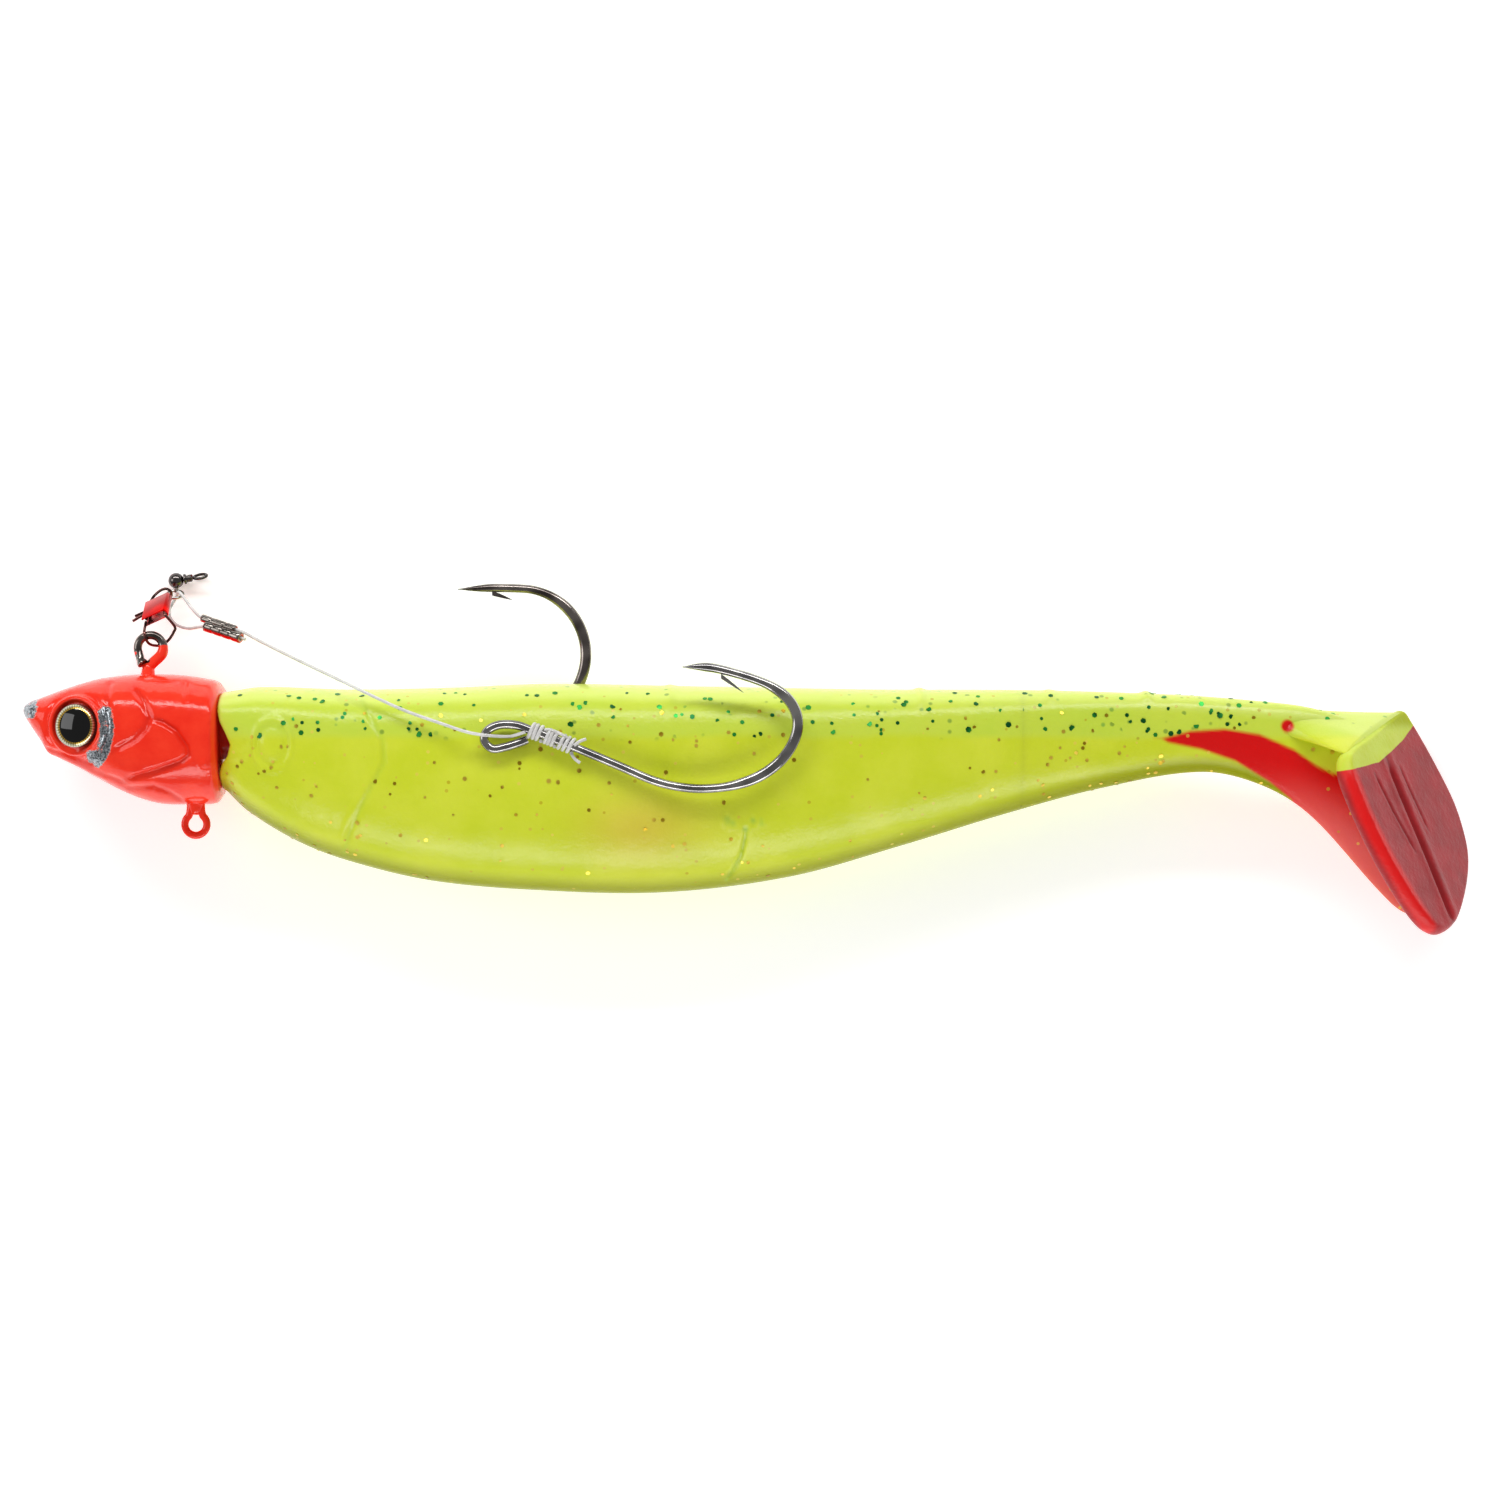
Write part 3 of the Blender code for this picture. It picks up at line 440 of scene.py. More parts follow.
def dyed_vinyl(looks):
    """The paddle's plastisol: dyed red at the back, pale green where the body's pour runs into it."""
    made, tree, shader = new_material("poured red plastisol")
    where = place_on(tree)
    cloud = noise(tree, where, 0.16, 4.0)
    red = mix_colours(tree, ramp(tree, cloud, 0.3, 0.7), linear("#9A181E"), linear("#B01E26"))
    # painted highlight: brighter red along the paddle's front rim
    red = mix_colours(tree, attribute(tree, "rim"), red, linear("#E01010"))
    # painted shade: darker red along the folds
    red = mix_colours(tree, maths(tree, "MULTIPLY", attribute(tree, "crease_shade_and_pale_lines"), 0.75), red, linear("#86060E"))
    pale = mix_colours(tree, ramp(tree, cloud, 0.35, 0.65), linear(looks.back_hex), linear("#CBDA3C"))
    # painted shade: darker olive toward the paddle's top edge
    edge = mix_colours(tree, maths(tree, "MULTIPLY", attribute(tree, "belly"), 0.8), pale, linear("#A8B420"))
    ragged = maths(tree, "ADD", attribute(tree, "dyed"), maths(tree, "MULTIPLY", noise(tree, where, 0.5, 4.0), 0.3))
    shade = mix_colours(tree, ramp(tree, ragged, 0.55, 0.75), edge, red)
    rough = add_node(tree, "ShaderNodeMapRange", Value=noise(tree, where, 0.4, 4.0))
    rough.inputs["To Min"].default_value = 0.3
    rough.inputs["To Max"].default_value = 0.5
    fold = bump(tree, noise(tree, where, 0.3, 3.0), 0.0004, 0.5)
    skin = bump(tree, noise(tree, where, 1.6, 4.0, 0.6), 0.00012, 0.6, fold)
    sheen = maths(tree, "SUBTRACT", 0.36, maths(tree, "MULTIPLY", attribute(tree, "belly"), 0.3))
    link(tree, shader, Base_Color=shade, Roughness=rough.outputs["Result"], Specular_IOR_Level=sheen, Normal=skin)
    shader.inputs["Subsurface Weight"].default_value = 0.25
    shader.inputs["Subsurface Radius"].default_value = (0.004, 0.0015, 0.0008)
    shader.inputs["Subsurface Scale"].default_value = 1.0
    shader.inputs["IOR"].default_value = 1.48
    return made


def plated_steel(name, dark, bright, low, high):
    """Drawn wire with a plated skin: nearly a mirror, with faint cloudiness and roughness that varies at random."""
    made, tree, shader = new_material(name)
    where = place_on(tree)
    cloud = noise(tree, where, 0.25, 1.0)
    tone = mix_colours(tree, ramp(tree, cloud, 0.3, 0.75), linear(dark), linear(bright))
    # painted reflection of the red head: red mixed into the metal where a part sets this value
    tone = mix_colours(tree, maths(tree, "MULTIPLY", attribute(tree, "painted_red_reflection"), 0.85), tone, linear("#D8200E"))
    rough = add_node(tree, "ShaderNodeMapRange", Value=noise(tree, where, 0.3, 1.0))
    rough.inputs["To Min"].default_value = low
    rough.inputs["To Max"].default_value = high
    link(tree, shader, Base_Color=tone, Roughness=rough.outputs["Result"])
    shader.inputs["Metallic"].default_value = 1.0
    return made


def painted_wire(looks):
    """The part of the line tie that went into the powder with the head: thick red up to a ragged edge."""
    made, tree, shader = new_material("enamel run up black nickel wire")
    where = place_on(tree)
    field = maths(tree, "ADD", attribute(tree, "paint"), maths(tree, "MULTIPLY", noise(tree, where, 1.1, 4.0), 0.5))
    coated = ramp(tree, field, 0.72, 0.78)
    bare = mix_colours(tree, ramp(tree, noise(tree, where, 0.25, 1.0), 0.3, 0.75), linear("#4A4340"),
                       linear("#9A918B"))
    shade = mix_colours(tree, coated, bare, linear(looks.paint_hex))
    rough = add_node(tree, "ShaderNodeMapRange", Value=noise(tree, where, 1.5, 3.0))
    rough.inputs["To Min"].default_value = 0.1
    rough.inputs["To Max"].default_value = 0.22
    lip = bump(tree, coated, 0.00015, 0.8)
    link(tree, shader, Base_Color=shade, Metallic=maths(tree, "SUBTRACT", 1.0, coated),
         Roughness=rough.outputs["Result"], Normal=lip)
    return made


def eye_print():
    """A printed foil under the dome: black pupil, a gold ring and a bright silver surround with fine spokes."""
    made, tree, shader = new_material("printed holographic foil")
    where = place_on(tree)
    centred = add_node(tree, "ShaderNodeMapping", Vector=where)
    centred.inputs["Location"].default_value = (-EYE_AT[0], -EYE_AT[1], 0.0)
    parts = add_node(tree, "ShaderNodeSeparateXYZ", Vector=centred.outputs["Vector"])
    across = maths(tree, "DIVIDE", parts.outputs["X"], math.cos(EYE_TILT))
    flat = add_node(tree, "ShaderNodeCombineXYZ", X=across, Y=parts.outputs["Y"])
    far = add_node(tree, "ShaderNodeVectorMath", {"operation": "LENGTH"},
                   i0=flat.outputs["Vector"]).outputs["Value"]
    turn = maths(tree, "ARCTAN2", parts.outputs["Y"], across)
    spokes = ramp(tree, maths(tree, "SINE", maths(tree, "MULTIPLY", turn, 46.0)), -0.4, 0.6)
    silver = mix_colours(tree, spokes, linear("#A9A67E"), linear("#DEDCC0"))
    gold = mix_colours(tree, spokes, linear("#8E6E1C"), linear("#D0A83C"))
    shade = mix_colours(tree, ramp(tree, far, 2.86, 3.0), gold, silver)
    shade = mix_colours(tree, ramp(tree, far, 2.62, 2.7), linear("#020202"), shade)
    shade = mix_colours(tree, ramp(tree, far, 3.22, 3.34), shade, linear("#8A8C84"))
    shine = maths(tree, "MULTIPLY", ramp(tree, far, 2.62, 2.7), 0.85)
    link(tree, shader, Base_Color=shade, Metallic=shine)
    shader.inputs["Roughness"].default_value = 0.28
    shader.inputs["Specular IOR Level"].default_value = 0.0
    shader.inputs["Coat Weight"].default_value = 1.0
    shader.inputs["Coat Roughness"].default_value = 0.015
    return made


def clear_plastic(name, tint, roughness, ior, clear):
    """Drawn clear line: partly glass-like, with a cloudiness that varies at random."""
    made, tree, shader = new_material(name)
    where = place_on(tree)
    tone = mix_colours(tree, noise(tree, where, 0.5, 2.0), linear(tint), linear("#FFFFFF"))
    link(tree, shader, Base_Color=tone)
    shader.inputs["Transmission Weight"].default_value = clear
    shader.inputs["Roughness"].default_value = roughness
    shader.inputs["IOR"].default_value = ior
    return made


def foil_flake(name, dark, bright):
    """A hexagon of coloured polyester glitter: metallic foil, tinted differently from flake to flake."""
    made, tree, shader = new_material(name)
    where = place_on(tree)
    tone = mix_colours(tree, ramp(tree, noise(tree, where, 0.35, 1.0), 0.4, 0.6), linear(dark), linear(bright))
    link(tree, shader, Base_Color=tone)
    shader.inputs["Metallic"].default_value = 0.7
    shader.inputs["Roughness"].default_value = 0.35
    return made


def studio_paper():
    """Seamless white paper: flat, with a barely visible tooth."""
    made, tree, shader = new_material("seamless white paper")
    where = place_on(tree)
    tone = mix_colours(tree, noise(tree, where, 0.05, 2.0), linear("#FFFFFF"), linear("#FDFDFD"))
    link(tree, shader, Base_Color=tone)
    shader.inputs["Roughness"].default_value = 0.9
    shader.inputs["Emission Color"].default_value = (1, 1, 1, 1)
    shader.inputs["Emission Strength"].default_value = 0.38
    return made


# ---------------------------------------------------------------- what the user may change


class SWIMBAIT_PG_looks(bpy.types.PropertyGroup):
    """Colours of the bait."""

    paint_hex: bpy.props.StringProperty(name="Head paint", description="sRGB hex of the enamel", default="#FF3A20")
    paint_deep_hex: bpy.props.StringProperty(name="Thick paint", description="sRGB hex of thick enamel",
                                             default="#F62C16")
    flank_hex: bpy.props.StringProperty(name="Flank", description="sRGB hex of the flank", default="#CFDC2A")
    back_hex: bpy.props.StringProperty(name="Back", description="sRGB hex of the back", default="#CFE04A")
    tail_hex: bpy.props.StringProperty(name="Tail dye", description="sRGB hex of the dyed tail", default="#D80808")


class SWIMBAIT_PG_sizes(bpy.types.PropertyGroup):
    """Sizes of the wires, the leader and the glitter."""

    jig_wire: FloatProperty(name="Jig wire", description="Diameter of the jig hook's wire", default=1.35 * MM,
                            unit="LENGTH", precision=5)
    belly_wire: FloatProperty(name="Belly wire", description="Diameter of the belly eye's wire", default=1.2 * MM,
                              unit="LENGTH", precision=5)
    snap_wire: FloatProperty(name="Snap wire", description="Diameter of the snap's wire", default=0.46 * MM,
                             unit="LENGTH", precision=5)
    stinger_wire: FloatProperty(name="Stinger wire", description="Diameter of the stinger's wire", default=1.4 * MM,
                                unit="LENGTH", precision=5)
    leader: FloatProperty(name="Leader", description="Diameter of the nylon leader", default=0.5 * MM,
                          unit="LENGTH", precision=5)
    flake: FloatProperty(name="Glitter size", description="Width of one hexagon of glitter", default=0.95 * MM,
                         unit="LENGTH", precision=5)
    green_flakes: IntProperty(name="Green glitter", description="Number of green flakes on the back", default=240,
                              min=0, max=2000)
    gold_flakes: IntProperty(name="Gold glitter", description="Number of gold flakes on the flanks", default=340,
                             min=0, max=2000)


def looks_and_sizes():
    return bpy.context.scene.swimbait_looks, bpy.context.scene.swimbait_sizes


# ---------------------------------------------------------------- the head


CHEEK_CREASE = [(-100.5, 11.2), (-100.4, 8.6), (-100.1, 6.2)]
PREOPERCLE = [(-96.6, 10.4), (-94.6, 7.8), (-93.5, 5.4), (-94.2, 3.6), (-95.9, 1.9), (-99.8, -0.2)]
OPERCULUM = [(-93.6, 5.4), (-91.2, 4.5), (-89.4, 3.3), (-87.7, 0.7), (-87.5, -0.7), (-88.9, -1.7),
             (-93.5, -3.3), (-98.4, -4.6)]
MOUTH = [(-111.6, 0.5), (-110.3, 0.0), (-106.4, -1.4), (-102.4, -2.3)]
LIP_FOLD = [(-109.4, -0.9), (-104.7, -2.5), (-100.5, -4.1), (-97.6, -5.2)]
THROAT = [(-98.6, -5.9), (-93.5, -5.6), (-91.2, -6.5), (-89.0, -8.2)]
NAPE = [(-88.6, 12.0), (-88.4, 9.8), (-87.6, 7.4)]


def head_surface():
    """The head as rings of points, dense enough to carry its moulded lines."""
    count, sides = 250, 320
    spots = HEAD_BACK[0][0] + (HEAD_BACK[-1][0] - HEAD_BACK[0][0]) * (np.linspace(0, 1, count) ** 1.25)
    rings = []
    for x in spots:
        back, belly, half = (value_at(t, x) for t in (HEAD_BACK, HEAD_BELLY, HEAD_HALF))
        rings.append(section(x, back, belly, half, 2.35, sides, widest=0.42))
    return np.array(rings), sides


def outward(rings):
    """The outward direction at every point of a grid of rings."""
    along = np.gradient(rings, axis=0)
    around = np.roll(rings, -1, axis=1) - np.roll(rings, 1, axis=1)
    normal = np.cross(around, along)
    normal /= np.linalg.norm(normal, axis=2, keepdims=True) + 1e-9
    centre = rings.mean(axis=1, keepdims=True)
    if ((rings - centre) * normal).sum() < 0:
        normal = -normal
    return normal


def moulded_head(material):
    """The lead head with its eye seats, gill plates, mouth and lip."""
    rings, sides = head_surface()
    normal = outward(rings)
    flat = rings[:, :, :2].reshape(-1, 2)
    side_on = smoothstep(0.15, 0.45, np.abs(normal[:, :, 2])).reshape(-1)
    relief = groove(flat, CHEEK_CREASE, 0.55, 0.28)
    relief += groove(flat, PREOPERCLE, 0.55, 0.42) + groove(flat, OPERCULUM, 0.45, 0.5)
    relief += groove(flat, MOUTH, 0.42, 0.5) + groove(flat, LIP_FOLD, 0.5, 0.3)
    relief += groove(flat, THROAT, 0.5, 0.3) + groove(flat, NAPE, 0.5, 0.2)
    # the plates stand a little proud behind their edges
    away, _ = distance_to(flat, OPERCULUM)
    inside = (flat[:, 0] < np.interp(flat[:, 1], [-5, -1.7, -0.7, 0.7, 3.3, 5.4],
                                     [-98, -88.9, -87.5, -87.7, -89.4, -93.6]))
    plate = inside * smoothstep(-98.5, -93.5, flat[:, 0]) * smoothstep(5.4, 3.4, flat[:, 1]) * smoothstep(-4.6, -3.4, flat[:, 1])
    relief += plate * np.exp(-away / 3.0) * 0.35 * smoothstep(0, 0.9, away)
    lip, _ = distance_to(flat, [(-112.2, -0.9), (-108.0, -1.9), (-104.2, -3.1), (-101.5, -4.0)])
    relief += 0.4 * np.exp(-((lip / 0.7) ** 2))
    nub = np.linalg.norm(flat - (-85.1, -1.9), axis=1)
    relief += 0.45 * np.exp(-((nub / 0.7) ** 2))
    relief *= side_on
    from_eye = np.linalg.norm((flat - EYE_AT) / (math.cos(EYE_TILT), 1.0), axis=1)
    relief += 0.55 * np.exp(-(((from_eye - 4.25) / 0.5) ** 2)) * side_on
    relief -= 0.35 * np.exp(-(((from_eye - 5.2) / 0.45) ** 2)) * side_on
    points = rings + normal * relief.reshape(rings.shape[:2])[:, :, None]
    # the eye seats are flat-bottomed
    seat = 1 - smoothstep(3.62, 3.95, from_eye).reshape(rings.shape[:2])
    for sign in (1, -1):
        height = MID + sign * (value_at(HEAD_HALF, EYE_AT[0]) - 0.9 - 0.6 + math.tan(EYE_TILT)
                               * (points[:, :, 0] - EYE_AT[0]))
        here = (sign * (points[:, :, 2] - MID) > 2) * seat
        points[:, :, 2] += (height - points[:, :, 2]) * here
    made = mesh_object("lead_head_painted", points.reshape(-1, 3), ring_faces(len(rings), sides), material,
                       sharp=70)
    spots = places(made)
    xy, upper = spots[:, :2], spots[:, 2] > MID
    tip = smoothstep(-111.0, -112.7, xy[:, 0]) * smoothstep(4.6, 5.4, xy[:, 1])
    tip = tip * smoothstep(MID - 2.5, MID, spots[:, 2]) * 0.9
    band = distance_to(xy, [(-100.6, 6.0), (-100.2, 4.0), (-100.4, 1.6), (-101.3, -0.3), (-102.3, -1.4),
                            (-103.0, -0.9)])[0]
    cheek = smoothstep(2.0, 0.6, band) * upper * 0.9
    nape = smoothstep(0.5, 0.2, distance_to(xy, [(-101.9, 11.4), (-97.6, 12.2)])[0]) * 0.6 * upper
    set_attribute(made, "chip", np.clip(tip + cheek + nape, 0, 1))
    # painted shade along the moulded creases, which the enamel draws darker red
    nearest = np.zeros(len(spots))
    for line, width in ((CHEEK_CREASE, 0.5), (PREOPERCLE, 0.5), (OPERCULUM, 0.5), (MOUTH, 0.45),
                        (LIP_FOLD, 0.5), (THROAT, 0.5)):
        nearest = np.maximum(nearest, np.exp(-((distance_to(xy, line)[0] / width) ** 2)))
    set_attribute(made, "crease_shade_and_pale_lines", nearest * 0.22)
    return made


class SWIMBAIT_OT_head(bpy.types.Operator):
    """Cast head with its keeper collar, and the eyes set in it"""

    bl_idname = "swimbait.head"
    bl_label = "Lead head and eyes"

    def execute(self, context):
        looks, _ = looks_and_sizes()
        enamel = red_enamel(looks)
        head = moulded_head(enamel)
        collar = turned([(0, 3.3), (0.25, 3.75), (0.6, 3.9), (7.4, 3.9), (8.1, 3.7), (8.4, 3.2)],
                        (-84.9, *KEEPER_AT), (1, 0, 0), 64)
        ring = mesh_object("keeper_collar_painted", *collar, enamel)
        set_attribute(ring, "chip", np.zeros(len(ring.data.vertices)))
        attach(head, "jig")
        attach(ring, "jig")
        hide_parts("lead_head")
        printed = eye_print()
        for sign, word in ((1, "left"), (-1, "right")):
            foil = bpy.data.objects[f"eye_foil_{word}"]
            foil.material_slots[0].material = printed
            up = Vector((-math.sin(EYE_TILT), 0, sign * math.cos(EYE_TILT)))
            seat = Vector((*EYE_AT, MID + sign * (value_at(HEAD_HALF, EYE_AT[0]) - 0.9)))
            curve = [(3.38 * math.cos(a), 0.55 + 1.15 * math.sin(a)) for a in np.linspace(0, math.pi / 2, 40)]
            dome = mesh_object(f"eye_dome_{word}_clear",
                               *turned([(0.14, 3.38), (0.14, 3.38)] + [(z, r) for r, z in curve],
                               seat, up, 96), printed, sharp=60)
            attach(dome, "jig")
            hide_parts(f"eye_dome_{word}")
        return {"FINISHED"}


# ---------------------------------------------------------------- the jig's wires


def spike(tip, root, out, thick=0.3):
    """A hook's barb: a thin spike cut up from the wire."""
    tip, root, out = Vector(tip), Vector(root), Vector(out)
    side = (tip - root).cross(out).normalized() * thick
    rings = []
    for share, size in ((0.0, 1.0), (0.35, 0.85), (0.7, 0.5), (1.0, 0.06)):
        at = root.lerp(tip, share)
        lift = out.normalized() * 0.55 * size
        rings += [at + side * size - lift * 0.4, at + side * size + lift,
                  at - side * size + lift, at - side * size - lift * 0.4]
    return rings, ring_faces(4, 4)


def needle(share_from, blunt=0.12):
    """A radius that stays whole up to share_from and then tapers in a long curve to a point."""
    return lambda t: 1.0 if t < share_from else max(blunt, (1 - ((t - share_from) / (1 - share_from)) ** 1.6))


def finer(points, step=0.35):
    return smooth_route(points, step)


class SWIMBAIT_OT_jig_wires(bpy.types.Operator):
    """Jig hook with its line tie, and the belly eye"""

    bl_idname = "swimbait.jig_wires"
    bl_label = "Jig hook and belly eye"

    def execute(self, context):
        looks, sizes = looks_and_sizes()
        x, y = LINE_TIE
        ring = arc(LINE_TIE, 2.02, 216, -38, 16)
        ring[0] = (x - 1.45, y - 2.0, MID + 0.5)
        ring.insert(0, (x - 1.1, y - 2.55, MID + 0.75))
        stem = [(x - 0.2, y - 3.0, MID), (x - 0.55, y - 4.2, MID), (x - 0.6, 9.0, MID), (x - 0.4, 6.9, MID),
                (x + 0.5, 5.4, MID), (x + 2.4, 4.9, MID), (x + 8, 4.9, MID), (-70, 4.9, MID), (-50, 4.9, MID)]
        bend = arc((-36.4, 15.35), 10.45, -90, 90, 14) + [(-40.5, 25.9, MID), (-43.4, 25.8, MID),
                                                          (-46.2, 25.7, MID)]
        radius = sizes.jig_wire / MM / 2
        point = needle(0.955)
        route = finer(ring + stem + bend)
        # the round bend is pressed flatter and broader than the wire, and paint thickens the line tie
        reach = [smoothstep(-36, -28, p.x) * (p.y > 6) * smoothstep(27, 23, p.y) for p in route]
        coat = [(p.x < -80) * smoothstep(-95.4, -94.2, p.x) * smoothstep(17.6, 15.4, p.y) * (p.y > 11)
                for p in route]
        coat = [max(c, float((p.x < -80) and 11 < p.y < 14.3)) for c, p in zip(coat, route)]
        last = len(route) - 1
        broad = [1 + 0.3 * float(r) for r in reach]
        thick = lambda t: radius * point(t) * broad[round(t * last)] + 0.2 * float(coat[round(t * last)])
        wire = tube(route, thick, 24, lambda t: 1 - 0.25 * float(reach[round(t * last)]), Vector((0, 0, 1)))
        foot = turned([(0, 1.5), (0.5, 1.3), (1.1, 1.08), (1.9, 0.98), (2.6, 0.8), (2.8, 0.4)],
                      (-95.45, 11.3, MID), (0.05, 1, 0), 32)
        coated = painted_wire(looks)
        barb = spike((-37.6, 24.0, MID), (-40.8, 24.9, MID), (0, 0.6, 0), 0.45)
        hook = mesh_object("jig_hook_wire", *join(wire, foot, barb), coated, sharp=50)
        spots = places(hook)
        right = smoothstep(-0.4, 0.5, spots[:, 0] - x) * smoothstep(y + 1.2, y - 0.4, spots[:, 1])
        low = smoothstep(14.6, 13.4, spots[:, 1]) * smoothstep(-96.9, -96.2, spots[:, 0])
        low = low * (spots[:, 2] < MID + 1.4)
        free = smoothstep(0.8, 0.2, np.linalg.norm(spots[:, :2] - (-97.4, 15.5), axis=1)) * 0.6
        painted = np.clip(np.maximum(np.maximum(right, low), free), 0, 1)
        set_attribute(hook, "paint", painted * (spots[:, 0] < -80))
        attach(hook, "jig")
        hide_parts("jig_hook")

        bx, by = BELLY_EYE
        legs = [[(bx + s * 0.85, by + 6, MID), (bx + s * 0.87, by + 2.4, MID)] for s in (-1, 1)]
        route = legs[0] + arc((bx, by - 0.2), 1.75, 130, 410, 20) + legs[1][::-1]
        enamel = red_enamel(looks)
        neck = turned([(0, 1.5), (0.4, 1.32), (0.9, 1.15), (1.5, 1.0), (1.9, 0.8), (2.1, 0.4)], (bx, -8.0, MID),
                      (0, -1, 0), 32)
        loop = tube(finer(route, 0.3), sizes.belly_wire / MM / 2, 24)
        eye = mesh_object("belly_eye_painted", *join(loop, neck), enamel)
        set_attribute(eye, "chip", np.zeros(len(eye.data.vertices)))
        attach(eye, "jig")
        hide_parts("belly_eye_wire")
        return {"FINISHED"}


# ---------------------------------------------------------------- the soft body


GILL = [(-60.6, 7.9), (-58.7, 4.4), (-57.0, 1.7), (-56.8, -1.7), (-58.3, -4.5), (-60.8, -9), (-62.8, -13),
        (-63.9, -16.2)]
FRONT_EDGE = [(-12, -82.9), (-6.1, -82.9), (-3.7, -82.9), (-2.1, -82.3), (-0.9, -81.4),
              (1.0, -80.9), (2.6, -81.5), (4.7, -82.5), (6.4, -82.85), (10, -82.9)]
NICKS = [((-3.4, -10.8), 0.6, 0.3), ((-2.6, -11.3), 0.5, 0.3), ((-0.6, -12.2), 0.5, 0.3),
         ((0.6, -10.9), 0.45, 0.25), ((1.9, -11.1), 0.4, 0.2)]
SLIT = [(-0.4, -12.4), (-0.9, -14.6), (-1.3, -16.4), (-2.6, -18.8), (-3.6, -20.2)]
BACK_BUMPS = [(26.9, 0.35), (62.8, 0.4), (-12.5, 0.2), (47.5, 0.18)]
RED_UPPER = [(63, 2.0), (65, 2.0), (69.6, 3.2), (75, 3.5), (80.5, 2.7), (86, 0.3), (89.6, -2.2), (92.2, -3.5),
             (99, -4), (112, -4)]
RED_LOWER = [(63, 2.2), (65, 2.0), (66, 1.4), (71.4, 0.3), (76.8, -1.5), (82.3, -4.8), (86, -7.7), (92, -22),
             (112, -40)]


def body_rings(start, stop, count, sides):
    rings = []
    for x in np.linspace(start, stop, count):
        rings.append(section(x, *(value_at(t, x) for t in (BODY_BACK, BODY_BELLY, BODY_HALF)), 2.7, sides))
    return np.array(rings)


def soft_relief(rings):
    """Moulded details of the flanks, the same on both sides, and the wear on the upper one."""
    normal = outward(rings)
    flat = rings[:, :, :2].reshape(-1, 2)
    side_on = smoothstep(0.2, 0.55, np.abs(normal[:, :, 2])).reshape(-1)
    upper = (rings[:, :, 2] > MID).reshape(-1)
    boss = np.linalg.norm((flat - (-74.5, 1.0)) / (3.3, 4.1), axis=1)
    relief = 0.28 * np.exp(-(((boss - 0.95) / 0.12) ** 2)) + 0.4 * smoothstep(0.75, 0.3, boss)
    relief -= 0.14 * np.exp(-(((boss - 0.76) / 0.12) ** 2))
    relief += groove(flat, GILL, 0.42, 0.22) - groove(flat + (0.9, 0), GILL, 0.6, 0.16)
    for spot, wide, deep in NICKS:
        away = np.linalg.norm((flat - spot) / (1.0, 0.7), axis=1)
        relief -= upper * deep * (np.exp(-((away / wide) ** 2)) - 0.6 * np.exp(-(((away - 1.4 * wide) / 0.4) ** 2)))
    relief += upper * groove(flat, SLIT, 0.28, 0.5)
    relief *= side_on
    for spot, tall in BACK_BUMPS:
        top = smoothstep(0.5, 0.9, normal[:, :, 1]).reshape(-1)
        relief += tall * top * np.exp(-(((flat[:, 0] - spot) / 0.8) ** 2))
    return rings + normal * relief.reshape(rings.shape[:2])[:, :, None]


def paint_soft(made):
    """Where the pours, the worn marks, the dye, the painted highlights and the painted shade lie, as values the
    material reads.
    """
    spots = places(made)
    x, y, z = spots[:, 0], spots[:, 1], spots[:, 2]
    table_back = np.array([value_at(BODY_BACK, v) for v in np.linspace(-83, 112, 400)])
    table_belly = np.array([value_at(BODY_BELLY, v) for v in np.linspace(-83, 112, 400)])
    back = np.interp(x, np.linspace(-83, 112, 400), table_back)
    belly = np.interp(x, np.linspace(-83, 112, 400), table_belly)
    flat = np.stack([x, y], axis=1)
    # painted shade along the belly edge, within 3.4 mm of the belly line
    set_attribute(made, "belly", smoothstep(3.4, 0.4, y - belly))
    # painted highlight along the back's shoulder, 1.4 to 3.2 mm inside the back line
    set_attribute(made, "painted_shoulder_highlight", smoothstep(3.2, 1.4, back - y))
    lines = 0.25 * np.exp(-((distance_to(flat, GILL)[0] / 0.35) ** 2))
    lines = np.maximum(lines, 0.6 * np.exp(-((distance_to(flat, SLIT)[0] / 0.3) ** 2)) * (z > MID))
    for spot, wide, _ in NICKS:
        lines = np.maximum(lines, np.exp(-((np.linalg.norm(flat - spot, axis=1) / wide) ** 2)) * (z > MID))
    set_attribute(made, "crease_shade_and_pale_lines", lines)
    blush = np.exp(-(np.linalg.norm((flat - (-17, -12)) / (9.0, 5.0), axis=1) ** 2))
    set_attribute(made, "blush", blush * (z > MID))
    upper_line = np.interp(x, *np.array(RED_UPPER).T)
    lower_line = np.interp(x, *np.array(RED_LOWER).T)
    dyed = smoothstep(-0.35, 0.35, upper_line - y) * smoothstep(-0.35, 0.35, y - lower_line) * (x > 63.5)
    dot = smoothstep(1.25, 0.75, np.linalg.norm(flat - (85.0, 4.0), axis=1))
    set_attribute(made, "dyed", np.maximum(dyed, dot))
    # painted highlight on the dyed tail, toward its lower edge behind x = 78 mm
    set_attribute(made, "painted_tail_highlight", smoothstep(-1.0, -13.0, y + (x - 84) * 0.25) * smoothstep(78, 88, x))


